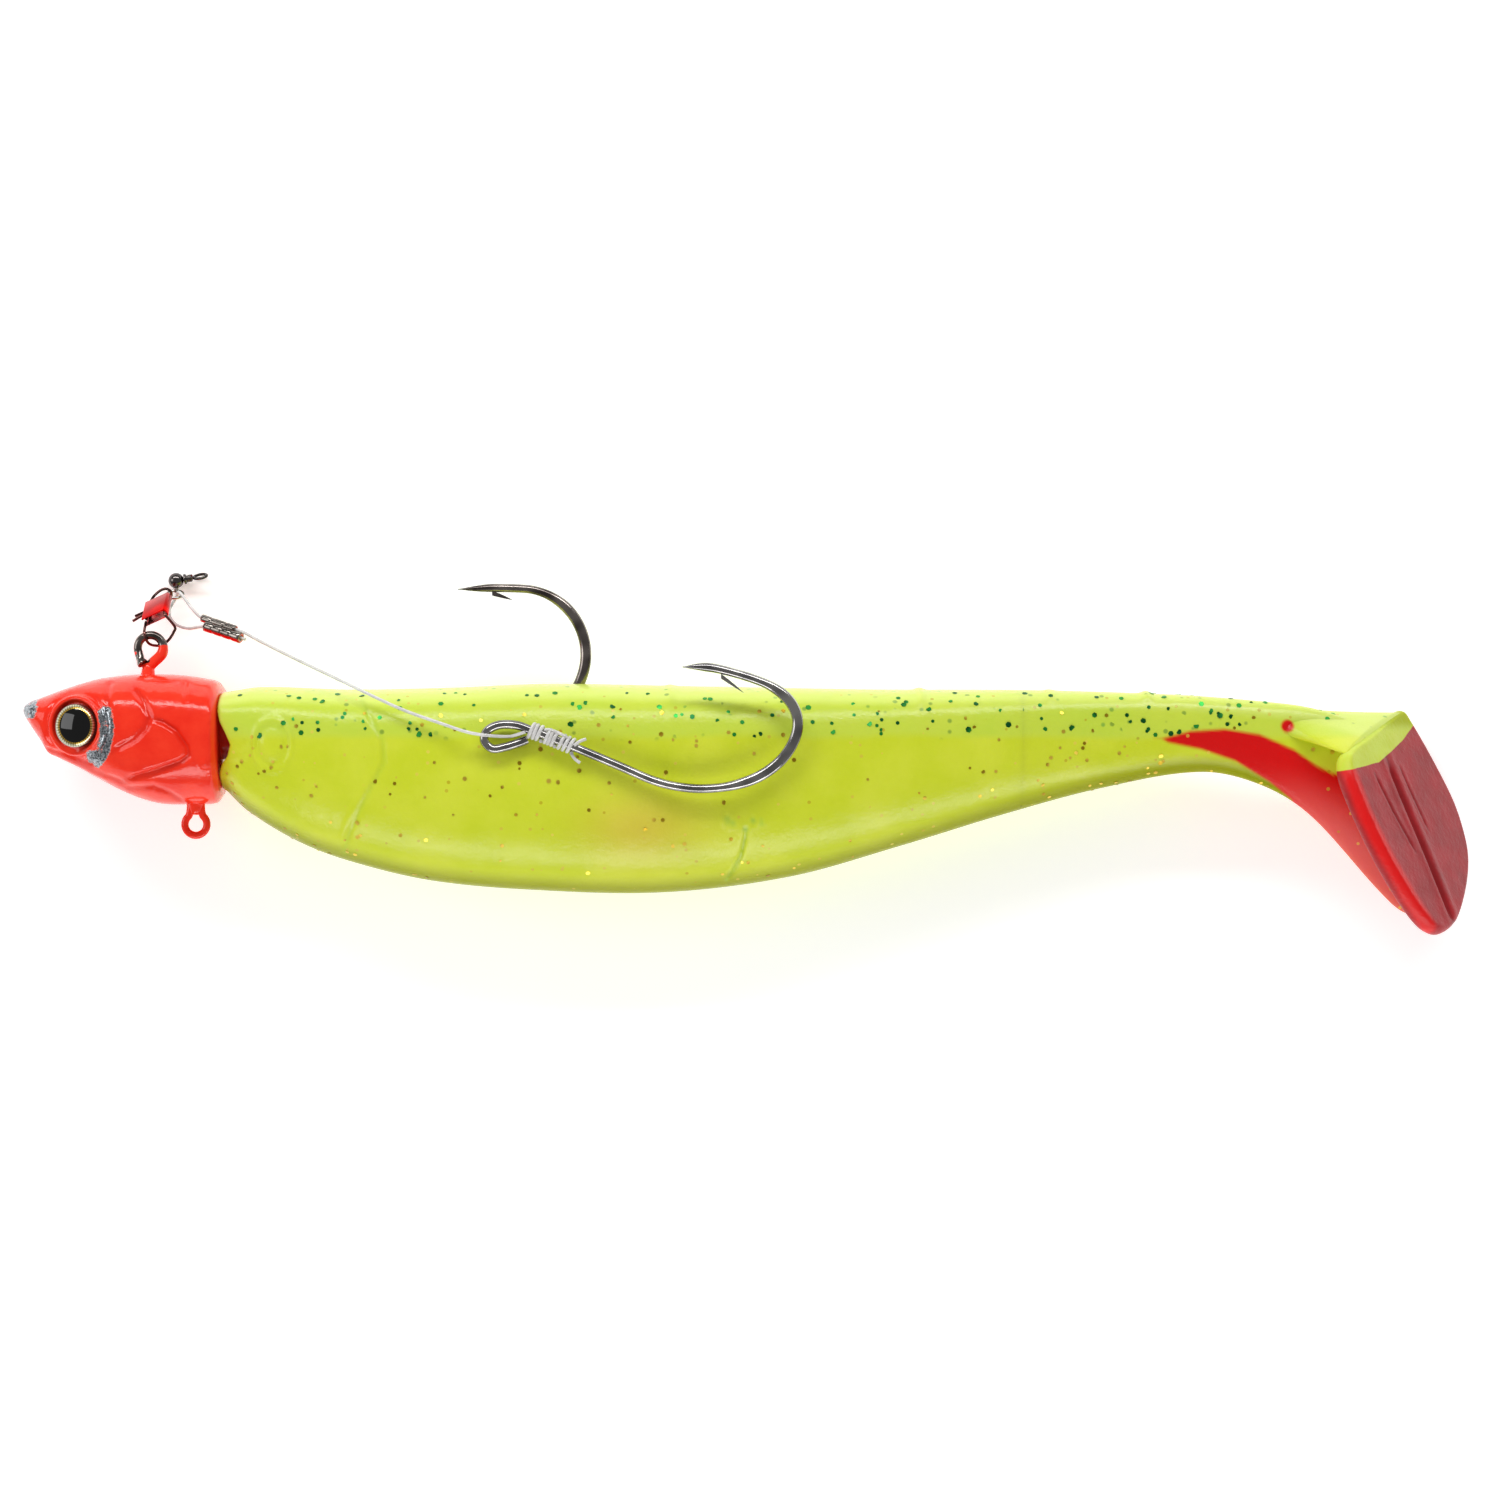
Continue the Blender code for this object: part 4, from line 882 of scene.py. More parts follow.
def front_skin(material):
    """The skin from the head's rear face to the middle of the body, with a mouth that meets the keeper."""
    rings = soft_relief(body_rings(-82.9, BODY_SPLIT, 520, 168))
    edge_y, edge_x = np.array(FRONT_EDGE).T
    shift = np.interp(rings[:, :, 1], edge_y, edge_x) - (-82.9)
    rings[:, :, 0] += shift * smoothstep(-76.0, -82.9, rings[:, :, 0])
    first = rings[0]
    centre = np.array([0.0, *KEEPER_AT])
    cap = []
    for size, inward in ((0.975, -0.35), (0.93, -0.3), (0.86, 0.25), (0.74, 1.0), (0.6, 1.7), (0.45, 2.4),
                         (0.36, 4.0)):
        loop = first.copy()
        loop[:, 1:] = centre[1:] + (first[:, 1:] - centre[1:]) * size
        loop[:, 0] = first[:, 0] * (size > 0.5) + (-80.5) * (size <= 0.5) + inward
        cap.append(loop)
    rings = np.concatenate([np.array(cap[::-1]), rings])
    made = mesh_object("soft_body_front_skin", rings.reshape(-1, 3), ring_faces(len(rings), 168), material,
                       sharp=75)
    paint_soft(made)
    return made


def rear_skin(material):
    """The skin from the middle of the body over the wrist to the keel, cut off behind the paddle's front face."""
    rings = soft_relief(body_rings(BODY_SPLIT, 111.5, 300, 168))
    made = mesh_object("soft_body_rear_skin", rings.reshape(-1, 3), ring_faces(len(rings), 168), material, sharp=75)
    bm = bmesh.new()
    bm.from_mesh(made.data)
    cut = paddle_point(0, 0, -PADDLE_THICK * 0.55) * MM
    facing = paddle_point(0, 0, 1) - paddle_point(0, 0)
    bmesh.ops.bisect_plane(bm, geom=bm.verts[:] + bm.edges[:] + bm.faces[:], plane_co=cut, plane_no=facing,
                           clear_outer=True)
    bmesh.ops.holes_fill(bm, edges=[e for e in bm.edges if e.is_boundary])
    bm.to_mesh(made.data)
    bm.free()
    tuck_behind_paddle(made)
    paint_soft(made)
    return made


PADDLE_OUTLINE = [
    (-14.3, -8.2), (-13.2, -10.3), (-10.9, -11.7), (-4.8, -13.8), (1.5, -16.0), (6.5, -17.7), (9.2, -18.3),
    (10.4, -16.6), (12.6, -12.0), (15.2, -5.0), (16.0, -0.4), (15.4, 5), (13.4, 9), (9.6, 13.2), (4.6, 17.2),
    (0.2, 18.9), (-2.6, 18.8), (-5.5, 17.0), (-8.6, 12.5), (-11.7, 5.8), (-13.6, -1.2), (-14.4, -6),
]
PADDLE_FOLDS = [
    ([(100.6, -1.1), (103.4, -8.2), (107.0, -17.0), (111.1, -27.8)], 0.35, 0.5),
    ([(98.0, -3.4), (101.0, -9.5), (104.6, -15.8)], 0.18, 0.15),
    ([(103.0, -2.4), (105.0, -7.0), (107.5, -12.5)], 0.16, 0.12),
]
PALE_LINE = [(86, -4.0), (94, -2.8), (99.1, -1.7), (101.7, 0.0), (104.2, 1.8), (106.8, 4.4), (110, 7)]


def paddle_point(across, down, out=0.0):
    return PADDLE_AT + PADDLE_ACROSS * across + PADDLE_DOWN * down - PADDLE_ACROSS.cross(PADDLE_DOWN) * out


def tuck_behind_paddle(skin):
    """Draws the keel in where it meets the paddle, so that it ends inside the rim."""
    rim = np.array(PADDLE_OUTLINE)
    turn, reach = np.arctan2(rim[:, 1], rim[:, 0]), np.linalg.norm(rim, axis=1) - 1.0
    facing = paddle_point(0, 0, 1) - paddle_point(0, 0)
    for vertex in skin.data.vertices:
        away = vertex.co / MM - PADDLE_AT
        across, down = away.dot(PADDLE_ACROSS), away.dot(PADDLE_DOWN)
        far = math.hypot(across, down)
        limit = np.interp(math.atan2(down, across), turn, reach, period=2 * math.pi)
        if far > limit:
            share = smoothstep(-7.0, -2.0, away.dot(facing)) * smoothstep(0.0, 6.0, down) * (limit / far - 1)
            vertex.co += (PADDLE_ACROSS * across + PADDLE_DOWN * down) * float(share) * MM


def paddle(material):
    """The paddle: a rounded plate with a soft rim and long folds on its rear face."""
    closed = PADDLE_OUTLINE + PADDLE_OUTLINE[:2]
    edge = []
    for p in [Vector((p.x, p.y)) for p in smooth_route([(u, v, 0) for u, v in closed], 0.3)[1:-1]]:
        if not edge or (p - edge[-1]).length > 0.05:
            edge.append(p)
    first = np.array([tuple(p) for p in edge])
    # keep one lap of the closed line
    lap = int(np.argmin(np.linalg.norm(first[20:] - first[0], axis=1))) + 20
    rim = first[:lap]
    centre = rim.mean(axis=0)
    half = PADDLE_THICK / 2
    layers = []
    for size in np.linspace(0.02, 0.93, 64):
        layers.append((size, 0.0))
    for a in np.linspace(90, -90, 13):
        turn = math.radians(a)
        layers.append((0.945 + 0.055 * math.cos(turn), -half + half * math.sin(turn)))
    for size in (0.92, 0.8, 0.6, 0.4, 0.2, 0.02):
        layers.append((size, -PADDLE_THICK))
    points = []
    for size, out in layers:
        for u, v in centre + (rim - centre) * size:
            points.append(paddle_point(u, v, out))
    points = np.array([tuple(p) for p in points])
    rear = np.repeat([1.0 if out > -half else 0.0 for _, out in layers], len(rim))
    inner = np.repeat([1.0 if size < 0.94 else 0.3 for size, _ in layers], len(rim))
    facing = np.array(tuple(-PADDLE_ACROSS.cross(PADDLE_DOWN)))
    relief = np.zeros(len(points))
    for line, width, depth in PADDLE_FOLDS:
        relief += groove(points[:, :2], line, width, depth)
        relief += 0.3 * depth * np.exp(-(((distance_to(points[:, :2], line)[0] - 2.5 * width)
                                          / (1.5 * width)) ** 2))
    relief *= rear * inner
    points += facing * relief[:, None]
    made = mesh_object("paddle_tail_plate", points, ring_faces(len(layers), len(rim)), material, sharp=60)
    spots = places(made)
    x, y = spots[:, 0], spots[:, 1]
    flat = spots[:, :2]
    pale = np.interp(x, *np.array(PALE_LINE).T)
    set_attribute(made, "dyed", smoothstep(-0.6, 0.6, pale - y))
    # painted highlight along the paddle's front rim
    near = distance_to(flat, [(93.3, -2.9), (95.5, -9.2), (98.7, -15.7), (102.8, -22.7), (106.1, -27.4)])[0]
    set_attribute(made, "rim", smoothstep(1.7, 0.7, near))
    # painted shade along the folds, which the material draws darker red
    lines = np.zeros(len(spots))
    for line, width, _ in PADDLE_FOLDS:
        lines = np.maximum(lines, np.exp(-((distance_to(flat, line)[0] / width) ** 2)))
    set_attribute(made, "crease_shade_and_pale_lines", lines)
    # on the paddle this value marks painted shade along its top edge
    set_attribute(made, "belly", smoothstep(3.0, 5.0, y))
    return made


def tail_web(material):
    """The gusset that widens from the wrist to the paddle's whole top edge."""
    near, far = Vector((93.4, -0.6, 22.4)), Vector((104.6, 6.0, 5.4))
    middle, reach = (near + far) / 2, (near - far) / 2
    sides, steps = 96, 60
    rings = []
    for k in range(steps + 1):
        t = k / steps
        bend = t ** 1.7
        for n in range(sides):
            a = 2 * math.pi * n / sides
            small = Vector((79.0, 5.2, MID)) + Vector((0, 0, 0.7)) * math.cos(a) - Vector((0, 2.5, 0)) * math.sin(a)
            wide = middle + reach * math.cos(a) + PADDLE_DOWN * (1.3 * math.sin(a))
            p = small.lerp(wide, bend)
            p.x = small.x + (wide.x - small.x) * t
            p.y = small.y + (wide.y - small.y) * (t ** 1.25 if wide.y < small.y else t)
            rings.append(p)
    made = mesh_object("tail_web_skin", rings, ring_faces(steps + 1, sides), material, sharp=75)
    paint_soft(made)
    return made


def scatter_flakes(name, skin, count, width, low, high, seed, material):
    """Hexagons of glitter scattered on a skin between two heights, as Geometry Nodes; one plain mesh comes back."""
    tree = bpy.data.node_groups.new(f"scatter {name}", "GeometryNodeTree")
    face = tree.interface
    for label, kind, is_in in (("Skin", "NodeSocketGeometry", True), ("Per square metre", "NodeSocketFloat", True),
                               ("Flake width", "NodeSocketFloat", True), ("Lowest", "NodeSocketFloat", True),
                               ("Highest", "NodeSocketFloat", True), ("Flakes", "NodeSocketGeometry", False)):
        face.new_socket(label, in_out="INPUT" if is_in else "OUTPUT", socket_type=kind)
    given = tree.nodes.new("NodeGroupInput").outputs
    place = add_node(tree, "GeometryNodeInputPosition").outputs["Position"]
    height = add_node(tree, "ShaderNodeSeparateXYZ", Vector=place).outputs["Y"]
    above = add_node(tree, "FunctionNodeCompare", {"operation": "GREATER_THAN"}, i0=height,
                     i1=given["Lowest"]).outputs[0]
    below = add_node(tree, "FunctionNodeCompare", {"operation": "LESS_THAN"}, i0=height,
                     i1=given["Highest"]).outputs[0]
    both = add_node(tree, "FunctionNodeBooleanMath", {"operation": "AND"}, i0=above, i1=below).outputs[0]
    dye = add_node(tree, "GeometryNodeInputNamedAttribute", {"data_type": "FLOAT"},
                   Name="dyed").outputs["Attribute"]
    undyed = add_node(tree, "FunctionNodeCompare", {"operation": "LESS_THAN"}, i0=dye, i1=0.02).outputs[0]
    chosen = add_node(tree, "FunctionNodeBooleanMath", {"operation": "AND"}, i0=both, i1=undyed).outputs[0]
    spread = add_node(tree, "GeometryNodeDistributePointsOnFaces", {"distribute_method": "RANDOM"},
                      Mesh=given["Skin"],
                      Selection=chosen, Seed=seed)
    tree.links.new(given["Per square metre"], spread.inputs["Density"])
    disc = add_node(tree, "GeometryNodeMeshCylinder", Vertices=6, Depth=0.00009)
    half = maths(tree, "MULTIPLY", given["Flake width"], 0.5)
    tree.links.new(half, disc.inputs["Radius"])
    spin = add_node(tree, "FunctionNodeRandomValue", {"data_type": "FLOAT"}, i2=0.0, i3=6.28, Seed=seed
                    + 1).outputs[1]
    tilt = add_node(tree, "FunctionNodeRandomValue", {"data_type": "FLOAT"}, i2=-0.25, i3=0.25, Seed=seed
                    + 2).outputs[1]
    turn = add_node(tree, "ShaderNodeCombineXYZ", X=tilt, Z=spin).outputs["Vector"]
    turned_by = add_node(tree, "FunctionNodeRotateRotation", {"rotation_space": "LOCAL"},
                         i0=spread.outputs["Rotation"], i1=turn)
    size = add_node(tree, "FunctionNodeRandomValue", {"data_type": "FLOAT"}, i2=0.6, i3=1.1, Seed=seed
                    + 3).outputs[1]
    laid = add_node(tree, "GeometryNodeInstanceOnPoints", Points=spread.outputs["Points"],
                    Instance=disc.outputs["Mesh"],
                    Rotation=turned_by.outputs[0], Scale=size)
    real = add_node(tree, "GeometryNodeRealizeInstances", Geometry=laid.outputs["Instances"])
    dressed = add_node(tree, "GeometryNodeSetMaterial", Geometry=real.outputs["Geometry"], Material=material)
    tree.links.new(dressed.outputs["Geometry"], tree.nodes.new("NodeGroupOutput").inputs[0])
    carrier = bpy.data.objects.new(f"{name}_carrier", skin.data)
    bpy.context.collection.objects.link(carrier)
    modifier = carrier.modifiers.new("scatter", "NODES")
    modifier.node_group = tree
    area = sum(p.area for p in skin.data.polygons if low * MM < p.center.y < high * MM)
    values = {"Per square metre": count / area, "Flake width": width, "Lowest": low * MM, "Highest": high * MM}
    for item in face.items_tree:
        if item.item_type == "SOCKET" and item.in_out == "INPUT" and item.name in values:
            modifier[item.identifier] = float(values[item.name])
    mesh = bpy.data.meshes.new_from_object(carrier.evaluated_get(bpy.context.evaluated_depsgraph_get()))
    bpy.data.objects.remove(carrier)
    made = bpy.data.objects.new(name, mesh)
    bpy.context.collection.objects.link(made)
    return made


class SWIMBAIT_OT_soft_body(bpy.types.Operator):
    """Poured body, its paddle tail and the glitter in it"""

    bl_idname = "swimbait.soft_body"
    bl_label = "Soft body and paddle"

    def execute(self, context):
        looks, sizes = looks_and_sizes()
        vinyl = poured_vinyl(looks)
        front, rear = front_skin(vinyl), rear_skin(vinyl)
        plate = paddle(dyed_vinyl(looks))
        web = tail_web(vinyl)
        leaf = foil_flake("green polyester glitter", "#0A5E26", "#2C9A3A")
        gilt = foil_flake("gold polyester glitter", "#A98A10", "#EBCB4A")
        front_share = 0.68
        laid = []
        for skin, share, part in ((front, front_share, "front"), (rear, 1 - front_share, "rear")):
            green = scatter_flakes(f"green_glitter_{part}", skin, sizes.green_flakes * share, sizes.flake, 2.6,
                                   9.2, 11, leaf)
            gold = scatter_flakes(f"gold_glitter_{part}", skin, sizes.gold_flakes * share, sizes.flake * 0.75,
                                  -20.0, 7.0, 23, gilt)
            laid += [(green, part), (gold, part)]
        for piece, part in [(front, "front"), (rear, "rear"), (plate, "rear"), (web, "rear")] + laid:
            if part == "front":
                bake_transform(piece)
            else:
                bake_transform(piece)
        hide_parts("soft_body_front")
        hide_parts("soft_body_rear")
        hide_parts("paddle_tail")
        return {"FINISHED"}


# ---------------------------------------------------------------- the snap


def clasp_point(across, along, out=0.0):
    return CLASP_AT + CLASP_ACROSS * across + CLASP_ALONG * along + CLASP_OUT * out


LONG_LEG = [
    clasp_point(-3.7, 0.2, 0.6), clasp_point(-1.9, 0.35, 0.52), clasp_point(0, 0.5, 0.45),
    clasp_point(0.95, 1.2, 0.2),
    clasp_point(0.95, 2.9), (-93.75, 24.1, 5.1), (-93.55, 24.0, 3.9), (-93.15, 24.5, 2.9), (-92.95, 25.2, 2.9),
    (-93.1, 25.8, 3.3), (-93.8, 26.1, 3.7), (-94.7, 25.7, 4.1), (-95.6, 24.7, 4.9), (-96.05, 23.3, 6.1),
    (-96.0, 21.9, 8.2), (-96.0, 21.0, 9.6),
]
SPRING_LEG = [
    (-95.98, 20.55, 10.3), (-95.95, 19.9, 11.3), (-95.9, 19.1, 12.6), (-95.8, 18.4, 13.0), (-95.6, 17.8, 12.95),
    (-95.3, 17.2, 12.5), (-94.9, 16.9, 11.9), (-94.4, 16.8, 11.3), (-93.7, 16.8, 10.95), (-93.0, 17.1, 10.8),
    (-92.2, 17.8, 10.8), (-91.5, 18.9, 10.9), (-91.3, 19.8, 11.0), clasp_point(2.0, -2.95), clasp_point(1.75, -2.2),
    clasp_point(1.45, -1.0), clasp_point(0.5, -0.6, 0.35), clasp_point(-1.9, -0.5, 0.52),
    clasp_point(-4.0, -1.1, 0.6),
]


def folded_clasp():
    """A sheet folded round the legs, open along its left edge, with round folds and pressed corners."""
    left, right, tall, middle, deep, sheet = -1.95, 2.3, 2.75, 0.22, 0.58, 0.16
    outer = [(left, middle + deep + sheet)]
    inner = [(left, middle + deep)]
    for a in np.linspace(90, -90, 17):
        turn = math.radians(a)
        outer.append((right - 0.3 + (0.3 + sheet) * math.cos(turn), middle + (deep + sheet) * math.sin(turn)))
        inner.append((right - 0.3 + 0.3 * math.cos(turn), middle + deep * math.sin(turn)))
    outer.append((left, middle - deep - sheet))
    inner.append((left, middle - deep))
    fold = outer + inner[::-1]
    rings = []
    for share in (0.0, 0.02, 0.98, 1.0):
        trim = 0.12 if share in (0.0, 1.0) else 0.0
        for u, n in fold:
            along = -tall + 2 * tall * share
            rings.append(clasp_point(u + trim * 0.3 * (1 if u < 0 else -1), along, n * (1 - 0.05 * (trim > 0))))
    return rings, ring_faces(4, len(fold))


class SWIMBAIT_OT_snap(bpy.types.Operator):
    """Wire snap with its folded clasp"""

    bl_idname = "swimbait.snap"
    bl_label = "Snap"

    def execute(self, context):
        _, sizes = looks_and_sizes()
        # painted reflection: the reddish cast in this black nickel's colours is the red head's reflection
        nickel = plated_steel("black nickel plate on spring wire", "#3A2A28", "#8A5A54", 0.08, 0.2)
        radius = sizes.snap_wire / MM / 2
        legs = {"snap_wire": LONG_LEG, "snap_gate": SPRING_LEG}
        for node, route in legs.items():
            piece = mesh_object(f"{node}_bent", *tube(finer(route, 0.16), radius, 16), nickel)
            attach(piece, "snap")
            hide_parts(node)
        # painted reflection: the clasp's nickel is coloured red all over for the red head it reflects
        clasp_painted_red = plated_steel("nickel clasp with painted red reflection", "#B00404", "#F01008", 0.12, 0.22)
        clasp = mesh_object("snap_clasp_folded", *folded_clasp(), clasp_painted_red, sharp=35)
        bevel = clasp.modifiers.new("soft edges", "BEVEL")
        bevel.width, bevel.segments, bevel.limit_method = 0.05 * MM, 2, "ANGLE"
        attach(clasp, "snap")
        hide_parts("snap_clasp")
        return {"FINISHED"}


# ---------------------------------------------------------------- the swivel


def wire_ring(centre, first, second, wide, tall, radius, start=0, stop=360, steps=72, sides=16):
    points = []
    for k in range(steps + 1):
        a = math.radians(start + (stop - start) * k / steps)
        points.append(centre + first * (wide * math.cos(a)) + second * (tall * math.sin(a)))
    return tube(points, radius, sides)


def coil(start, along, length, turns, radius, thick, steps_a_turn=20):
    """A wire wound round a line."""
    along = Vector(along).normalized()
    side = along.orthogonal().normalized()
    other = along.cross(side)
    points = []
    for k in range(turns * steps_a_turn + 1):
        a = 2 * math.pi * k / steps_a_turn
        far = length * k / (turns * steps_a_turn)
        points.append(Vector(start) + along * far + (side * math.cos(a) + other * math.sin(a)) * radius)
    return tube(points, thick, 10)


class SWIMBAIT_OT_swivel(bpy.types.Operator):
    """Ball-bearing swivel between the snap and the line"""

    bl_idname = "swimbait.swivel"
    bl_label = "Swivel"

    def execute(self, context):
        dark = plated_steel("black nickel plated swivel steel", "#2E2B2A", "#6E6866", 0.06, 0.16)
        bright = plated_steel("tumbled stainless wire", "#A8A6A2", "#E6E4E0", 0.08, 0.2)
        curve = [(-1.25 * math.cos(a), 1.25 * math.sin(a)) for a in np.linspace(0.02, math.pi - 0.02, 40)]
        ball = mesh_object("swivel_ball_turned", *turned(curve, BALL_AT, BALL_STEM, 56), dark)
        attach(ball, "ball")
        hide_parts("swivel_ball")

        steps = [(1.28, 0.3), (1.3, 0.46), (1.36, 0.5), (1.42, 0.44), (1.48, 0.52), (1.56, 0.52), (1.62, 0.44),
                 (1.7, 0.5),
                 (1.78, 0.44), (1.86, 0.42), (2.1, 0.3)]
        lower = join(turned(steps, BALL_AT, BALL_STEM, 32),
                     wire_ring(SNAP_EYE_CENTRE, Vector((1, 0, 0)), SNAP_EYE_UP, 1.35, 1.35, 0.25))
        eye = mesh_object("swivel_lower_eye_wire", *lower, bright)
        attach(eye, "swivel_eye")
        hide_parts("swivel_lower_eye")

        tall = (UPPER_STEM.cross(Vector((0, 0, 1))).normalized() * 0.45 + Vector((0, 0, 0.893))).normalized()
        cap = [(1.3, 0.5), (1.32, 0.84), (1.4, 0.88), (1.52, 0.84), (1.66, 0.78), (1.78, 0.6), (1.9, 0.42),
               (2.5, 0.42), (2.6, 0.3), (3.0, 0.28)]
        eye_centre = BALL_AT + UPPER_STEM * 3.95
        upper = join(turned(cap, BALL_AT, UPPER_STEM, 40),
                     coil(BALL_AT + UPPER_STEM * 1.85, UPPER_STEM, 0.75, 3, 0.46, 0.17),
                     wire_ring(eye_centre, UPPER_STEM, tall, 1.05, 0.8, 0.24))
        top = mesh_object("swivel_upper_eye_wire", *upper, dark)
        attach(top, "swivel_top")
        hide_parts("swivel_upper_eye")
        return {"FINISHED"}


# ---------------------------------------------------------------- the stinger


HOOK_EYE = [
    (-34.0, 3.3, STINGER_Z), (-36.2, 4.05, STINGER_Z), (-38.8, 4.1, STINGER_Z), (-40.7, 3.2, STINGER_Z),
    (-41.2, 1.7, STINGER_Z), (-39.9, 0.4, STINGER_Z), (-37.8, 0.7, STINGER_Z), (-35.6, 1.4, STINGER_Z - 0.3),
    (-34.6, 1.8, STINGER_Z - 0.5),
]
SHANK = [
    (-34, 3.3), (-31.7, 2.5), (-26.8, 0.5), (-20.4, -2.2), (-15, -4.5), (-11, -5.5), (-7, -5.8), (-2.5, -5.3),
    (1.7, -3.8), (5, -1.3), (7, 1.8), (7.5, 4.8), (6.4, 7.6), (3.9, 9.8), (0.5, 11.3), (-4, 12.6), (-7, 13.1),
    (-10.4, 13.1),
]


class SWIMBAIT_OT_stinger(bpy.types.Operator):
    """Stinger hook: long eye, straight shank, forged bend"""

    bl_idname = "swimbait.stinger"
    bl_label = "Stinger hook"

    def execute(self, context):
        _, sizes = looks_and_sizes()
        tin = plated_steel("tinned high-carbon hook wire", "#7C7A7A", "#B8B5B2", 0.12, 0.2)
        shank = [Vector((x, y, STINGER_Z)) for x, y in SHANK]
        route = finer([Vector(p) for p in HOOK_EYE][::-1] + shank[1:], 0.4)
        total = len(route)
        point = needle(0.955)
        radius = sizes.stinger_wire / MM / 2
        bend_from, bend_to = 0.55, 0.86
        press = lambda t: float(smoothstep(bend_from, bend_from + 0.06, t) * smoothstep(bend_to, bend_to - 0.06, t))
        wire = tube(route, lambda t: radius * point(t) * (1 + 0.24 * press(t)), 24, lambda t: 1 - 0.3
                    * press(t), Vector((0, 0, 1)))
        hook = mesh_object("stinger_hook_wire", *join(wire, spike((-0.9, 9.1, STINGER_Z), (-4.4, 11.5, STINGER_Z), (0, 0.6, 0), 0.45)), tin, sharp=50)
        if total < 50:
            raise RuntimeError("the stinger's route came out too coarse")
        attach(hook, "stinger")
        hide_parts("stinger_hook")
        return {"FINISHED"}


# ---------------------------------------------------------------- the leader


LOOP_ROUTE = [
    (-87.6, 21.5, 9.5), (-89.2, 23.0, 7.4), (-90.6, 24.6, 5.2), (-91.5, 25.5, 3.8), (-91.9, 25.5, 3.0),
    (-92.2, 24.9, 2.2), (-92.8, 23.8, 2.5), (-93.1, 22.6, 3.9), (-92.7, 21.3, 5.6), (-91.3, 20.1, 7.4),
    (-89.4, 19.6, 8.7), (-87.5, 19.8, 9.8),
]
LINE_ROUTE = [
    (-79.9, 18.75, 13.2), (-77.9, 17.7, 14.4), (-71.5, 14.6, 18.2), (-64.6, 11.4, 21.6), (-59.1, 8.8, 23.7),
    (-53.5, 6.3, 25.0), (-47.5, 4.2, 26.1), (-44.2, 3.1, 26.8), (-41.8, 2.6, 27.0), (-39.9, 2.4, 26.4),
    (-38.2, 2.3, 25.8), (-37.1, 2.3, 25.6),
]


def sleeve_lines():
    """Where the sleeve's upper and lower barrels run."""
    along = (SLEEVE_END - SLEEVE_START).normalized()
    long = (SLEEVE_END - SLEEVE_START).length
    low = SLEEVE_START + SLEEVE_APART * 0.72 + along * 0.5
    return along, (SLEEVE_START, long), (low, long + 0.3)


def barrel(start, along, long, radius, hole, marks):
    """A round tube with open mouths, rolled lips and pressed crimp marks."""
    profile = [(0.9, hole), (0.05, hole), (0.0, hole + 0.05), (0.0, radius - 0.08), (0.08, radius)]
    for at in np.linspace(0.5, long - 0.5, 40):
        dent = sum(0.06 * math.exp(-(((at - m * long) / 0.28) ** 2)) for m in marks)
        profile.append((at, radius - dent))
    profile += [(long - 0.08, radius), (long, radius - 0.08), (long, hole + 0.05), (long - 0.05, hole),
                (long - 0.9, hole)]
    return turned(profile, start, along, 40)


def snell(shank, start, stop, radius, thick, turns):
    """Wraps of line wound tightly round the stinger's shank between two shares of its length."""
    route = smooth_route(shank, 0.1)
    points = []
    count = turns * 22
    for k in range(count + 1):
        share = start + (stop - start) * k / count
        place = share * (len(route) - 1)
        i = min(int(place), len(route) - 2)
        at = route[i].lerp(route[i + 1], place - i)
        along = (route[i + 1] - route[i]).normalized()
        up = Vector((0, 0, 1))
        across = along.cross(up).normalized()
        a = 2 * math.pi * turns * k / count
        points.append(at + (across * math.cos(a) + up * math.sin(a)) * radius)
    return tube(points, thick, 12)


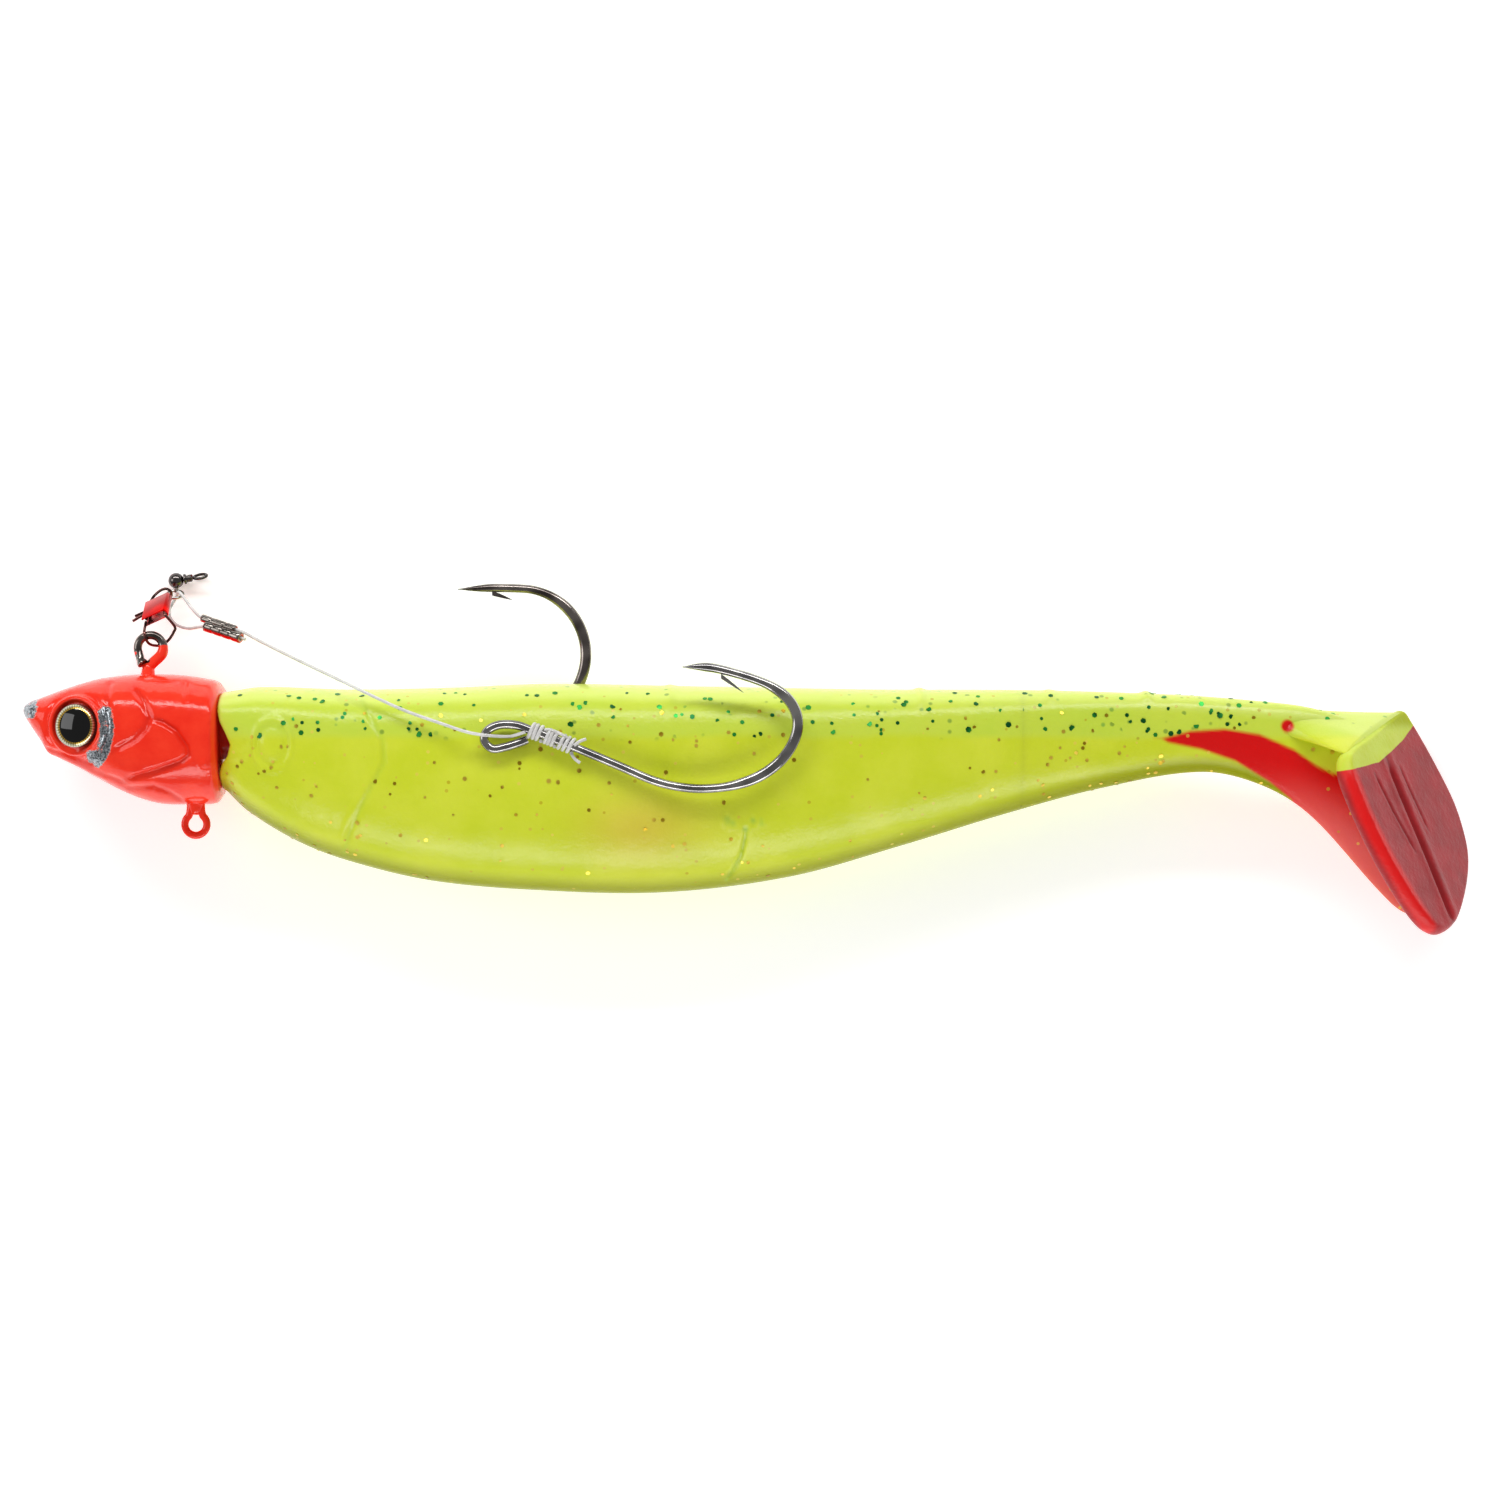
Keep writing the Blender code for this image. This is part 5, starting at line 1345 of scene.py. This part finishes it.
class SWIMBAIT_OT_leader(bpy.types.Operator):
    """Nylon leader from the swivel to the stinger, its crimp sleeve and its snelled knot"""

    bl_idname = "swimbait.leader"
    bl_label = "Leader, sleeve and knot"

    def execute(self, context):
        _, sizes = looks_and_sizes()
        radius = sizes.leader / MM / 2
        nylon = clear_plastic("clear nylon monofilament", "#C9C5C0", 0.14, 1.53, 0.15)
        along, (up_at, up_long), (low_at, low_long) = sleeve_lines()
        tag = [low_at + along * (low_long + 0.8), low_at + along * (low_long * 0.6), low_at + along * 0.6]
        through = [up_at + along * 0.6, up_at + along * (up_long * 0.55), SLEEVE_END + along * 0.3]
        # one strand: the tag end, the loop through the swivel's eye, back through the sleeve, on to the hook
        route = [Vector(p) for p in tag] + [Vector(p) for p in LOOP_ROUTE[::-1]] + through + [Vector(p)
                                                                                              for p in LINE_ROUTE]
        path = finer(route, 0.3)
        strand = mesh_object("leader_strand", *tube(path, radius, 14), nylon)
        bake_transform(strand)
        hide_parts("leader_loop", "leader_line")

        metal = plated_steel("nickel-plated copper sleeve", "#5E5853", "#8F8882", 0.14, 0.22)
        tubes = join(barrel(up_at, along, up_long, 0.62, 0.33, (0.3, 0.7)),
                     barrel(low_at, along, low_long, 0.9, 0.4, (0.25, 0.5, 0.75)))
        sleeve = mesh_object("crimp_sleeve_pressed", *tubes, metal, sharp=50)
        # painted reflection of the red head: the sleeve's faces turned down toward it get a red tint
        low_side = np.array([-v.normal.y for v in sleeve.data.vertices])
        set_attribute(sleeve, "painted_red_reflection", smoothstep(0.25, 0.6, low_side))
        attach(sleeve, "leader")
        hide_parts("crimp_sleeve")

        shank = [Vector((x, y, STINGER_Z)) for x, y in SHANK[:4]]
        wound = sizes.stinger_wire / MM / 2 + radius + 0.15
        arch = finer([(-31.8, 3.3, STINGER_Z + 0.5), (-31.0, 3.35, STINGER_Z + 0.75),
                      (-29.4, 2.75, STINGER_Z + 0.9),
                      (-27.9, 1.9, STINGER_Z + 0.8)], 0.2)
        tags = [finer([(-27.2, 0.9, STINGER_Z + 0.95), (-26.4, 1.5, STINGER_Z + 0.9),
                       (-25.4, 1.9, STINGER_Z + 0.5)], 0.2),
                finer([(-27.6, -0.5, STINGER_Z - 0.1), (-27.1, -1.2, STINGER_Z - 0.1),
                       (-26.3, -1.8, STINGER_Z)], 0.2)]
        into = finer([(-37.1, 2.3, 25.6), (-36.0, 2.6, STINGER_Z + 0.6), (-34.8, 3.0, STINGER_Z + 0.95)], 0.2)
        wraps = join(snell(shank, 0.0, 0.15, wound, 1.25 * radius, 3),
                     snell(shank, 0.19, 0.32, wound, 1.2 * radius, 3),
                     snell(shank, 0.36, 0.5, wound, 1.2 * radius, 3), tube(arch, radius, 12),
                     tube(into, radius, 12),
                     *[tube(t, radius, 12) for t in tags])
        knot = mesh_object("leader_snell", *wraps, nylon)
        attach(knot, "stinger")
        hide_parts("leader_knot")
        return {"FINISHED"}


# ---------------------------------------------------------------- floor, light and camera


def softbox(name, at, aim, wide, tall, power):
    light = bpy.data.lights.new(name, "AREA")
    light.shape, light.size, light.size_y, light.energy = "RECTANGLE", wide, tall, power
    lamp = bpy.data.objects.new(name, light)
    lamp.location = at
    lamp.rotation_euler = (Vector(aim) - Vector(at)).to_track_quat("-Z", "Y").to_euler()
    bpy.context.collection.objects.link(lamp)


class SWIMBAIT_OT_stage(bpy.types.Operator):
    """White paper floor, soft boxes and the camera"""

    bl_idname = "swimbait.stage"
    bl_label = "Floor, lights and camera"

    def execute(self, context):
        bm = bmesh.new()
        bmesh.ops.create_grid(bm, x_segments=1, y_segments=1, size=4.0)
        mesh = bpy.data.meshes.new("paper_floor")
        bm.to_mesh(mesh)
        bm.free()
        floor = bpy.data.objects.new("paper_floor", mesh)
        context.collection.objects.link(floor)
        mesh.materials.append(studio_paper())
        world = bpy.data.worlds.new("white studio")
        world.use_nodes = True
        sky = world.node_tree.nodes["Background"]
        sky.inputs["Color"].default_value = (1, 1, 1, 1)
        sky.inputs["Strength"].default_value = 0.27
        context.scene.world = world
        softbox("strip_over_back", (-0.02, 0.55, 0.42), (0, 0, 0.01), 1.0, 0.12, 3.9)
        softbox("fill_under_belly", (0.05, -0.6, 0.3), (0, 0, 0.01), 0.9, 0.2, 2.9)
        softbox("left_end", (-0.6, 0.1, 0.35), (-0.05, 0, 0.01), 0.3, 0.3, 0.8)
        lens = bpy.data.cameras.new("overhead")
        lens.lens, lens.sensor_width = 100.0, 36.0
        camera = bpy.data.objects.new("overhead", lens)
        camera.location = (0.0001, 0.0002, 0.673)
        context.collection.objects.link(camera)
        context.scene.camera = camera
        context.scene.view_settings.view_transform = "Standard"
        return {"FINISHED"}


class SWIMBAIT_PT_builder(bpy.types.Panel):
    """Lists the bait's pieces and what may be changed"""

    bl_label = "Rigged swimbait"
    bl_idname = "SWIMBAIT_PT_builder"
    bl_space_type = "VIEW_3D"
    bl_region_type = "UI"
    bl_category = "Swimbait"

    def draw(self, context):
        for group in (context.scene.swimbait_looks, context.scene.swimbait_sizes):
            box = self.layout.box()
            for name in group.bl_rna.properties.keys():
                if name not in {"rna_type", "name"}:
                    box.prop(group, name)
        for step in STEPS:
            self.layout.operator(step.bl_idname)


STEPS = (SWIMBAIT_OT_stinger, SWIMBAIT_OT_leader, SWIMBAIT_OT_head, SWIMBAIT_OT_jig_wires,
         SWIMBAIT_OT_soft_body, SWIMBAIT_OT_snap,
         SWIMBAIT_OT_swivel, SWIMBAIT_OT_stage)
CLASSES = (SWIMBAIT_PG_looks, SWIMBAIT_PG_sizes, *STEPS, SWIMBAIT_PT_builder)


def register():
    for some in CLASSES:
        bpy.utils.register_class(some)
    bpy.types.Scene.swimbait_looks = PointerProperty(type=SWIMBAIT_PG_looks)
    bpy.types.Scene.swimbait_sizes = PointerProperty(type=SWIMBAIT_PG_sizes)


def unregister():
    del bpy.types.Scene.swimbait_sizes
    del bpy.types.Scene.swimbait_looks
    for some in reversed(CLASSES):
        bpy.utils.unregister_class(some)


def main():
    register()
    for step in STEPS:
        group, name = step.bl_idname.split(".")
        getattr(getattr(bpy.ops, group), name)()


if __name__ == "__main__":
    main()
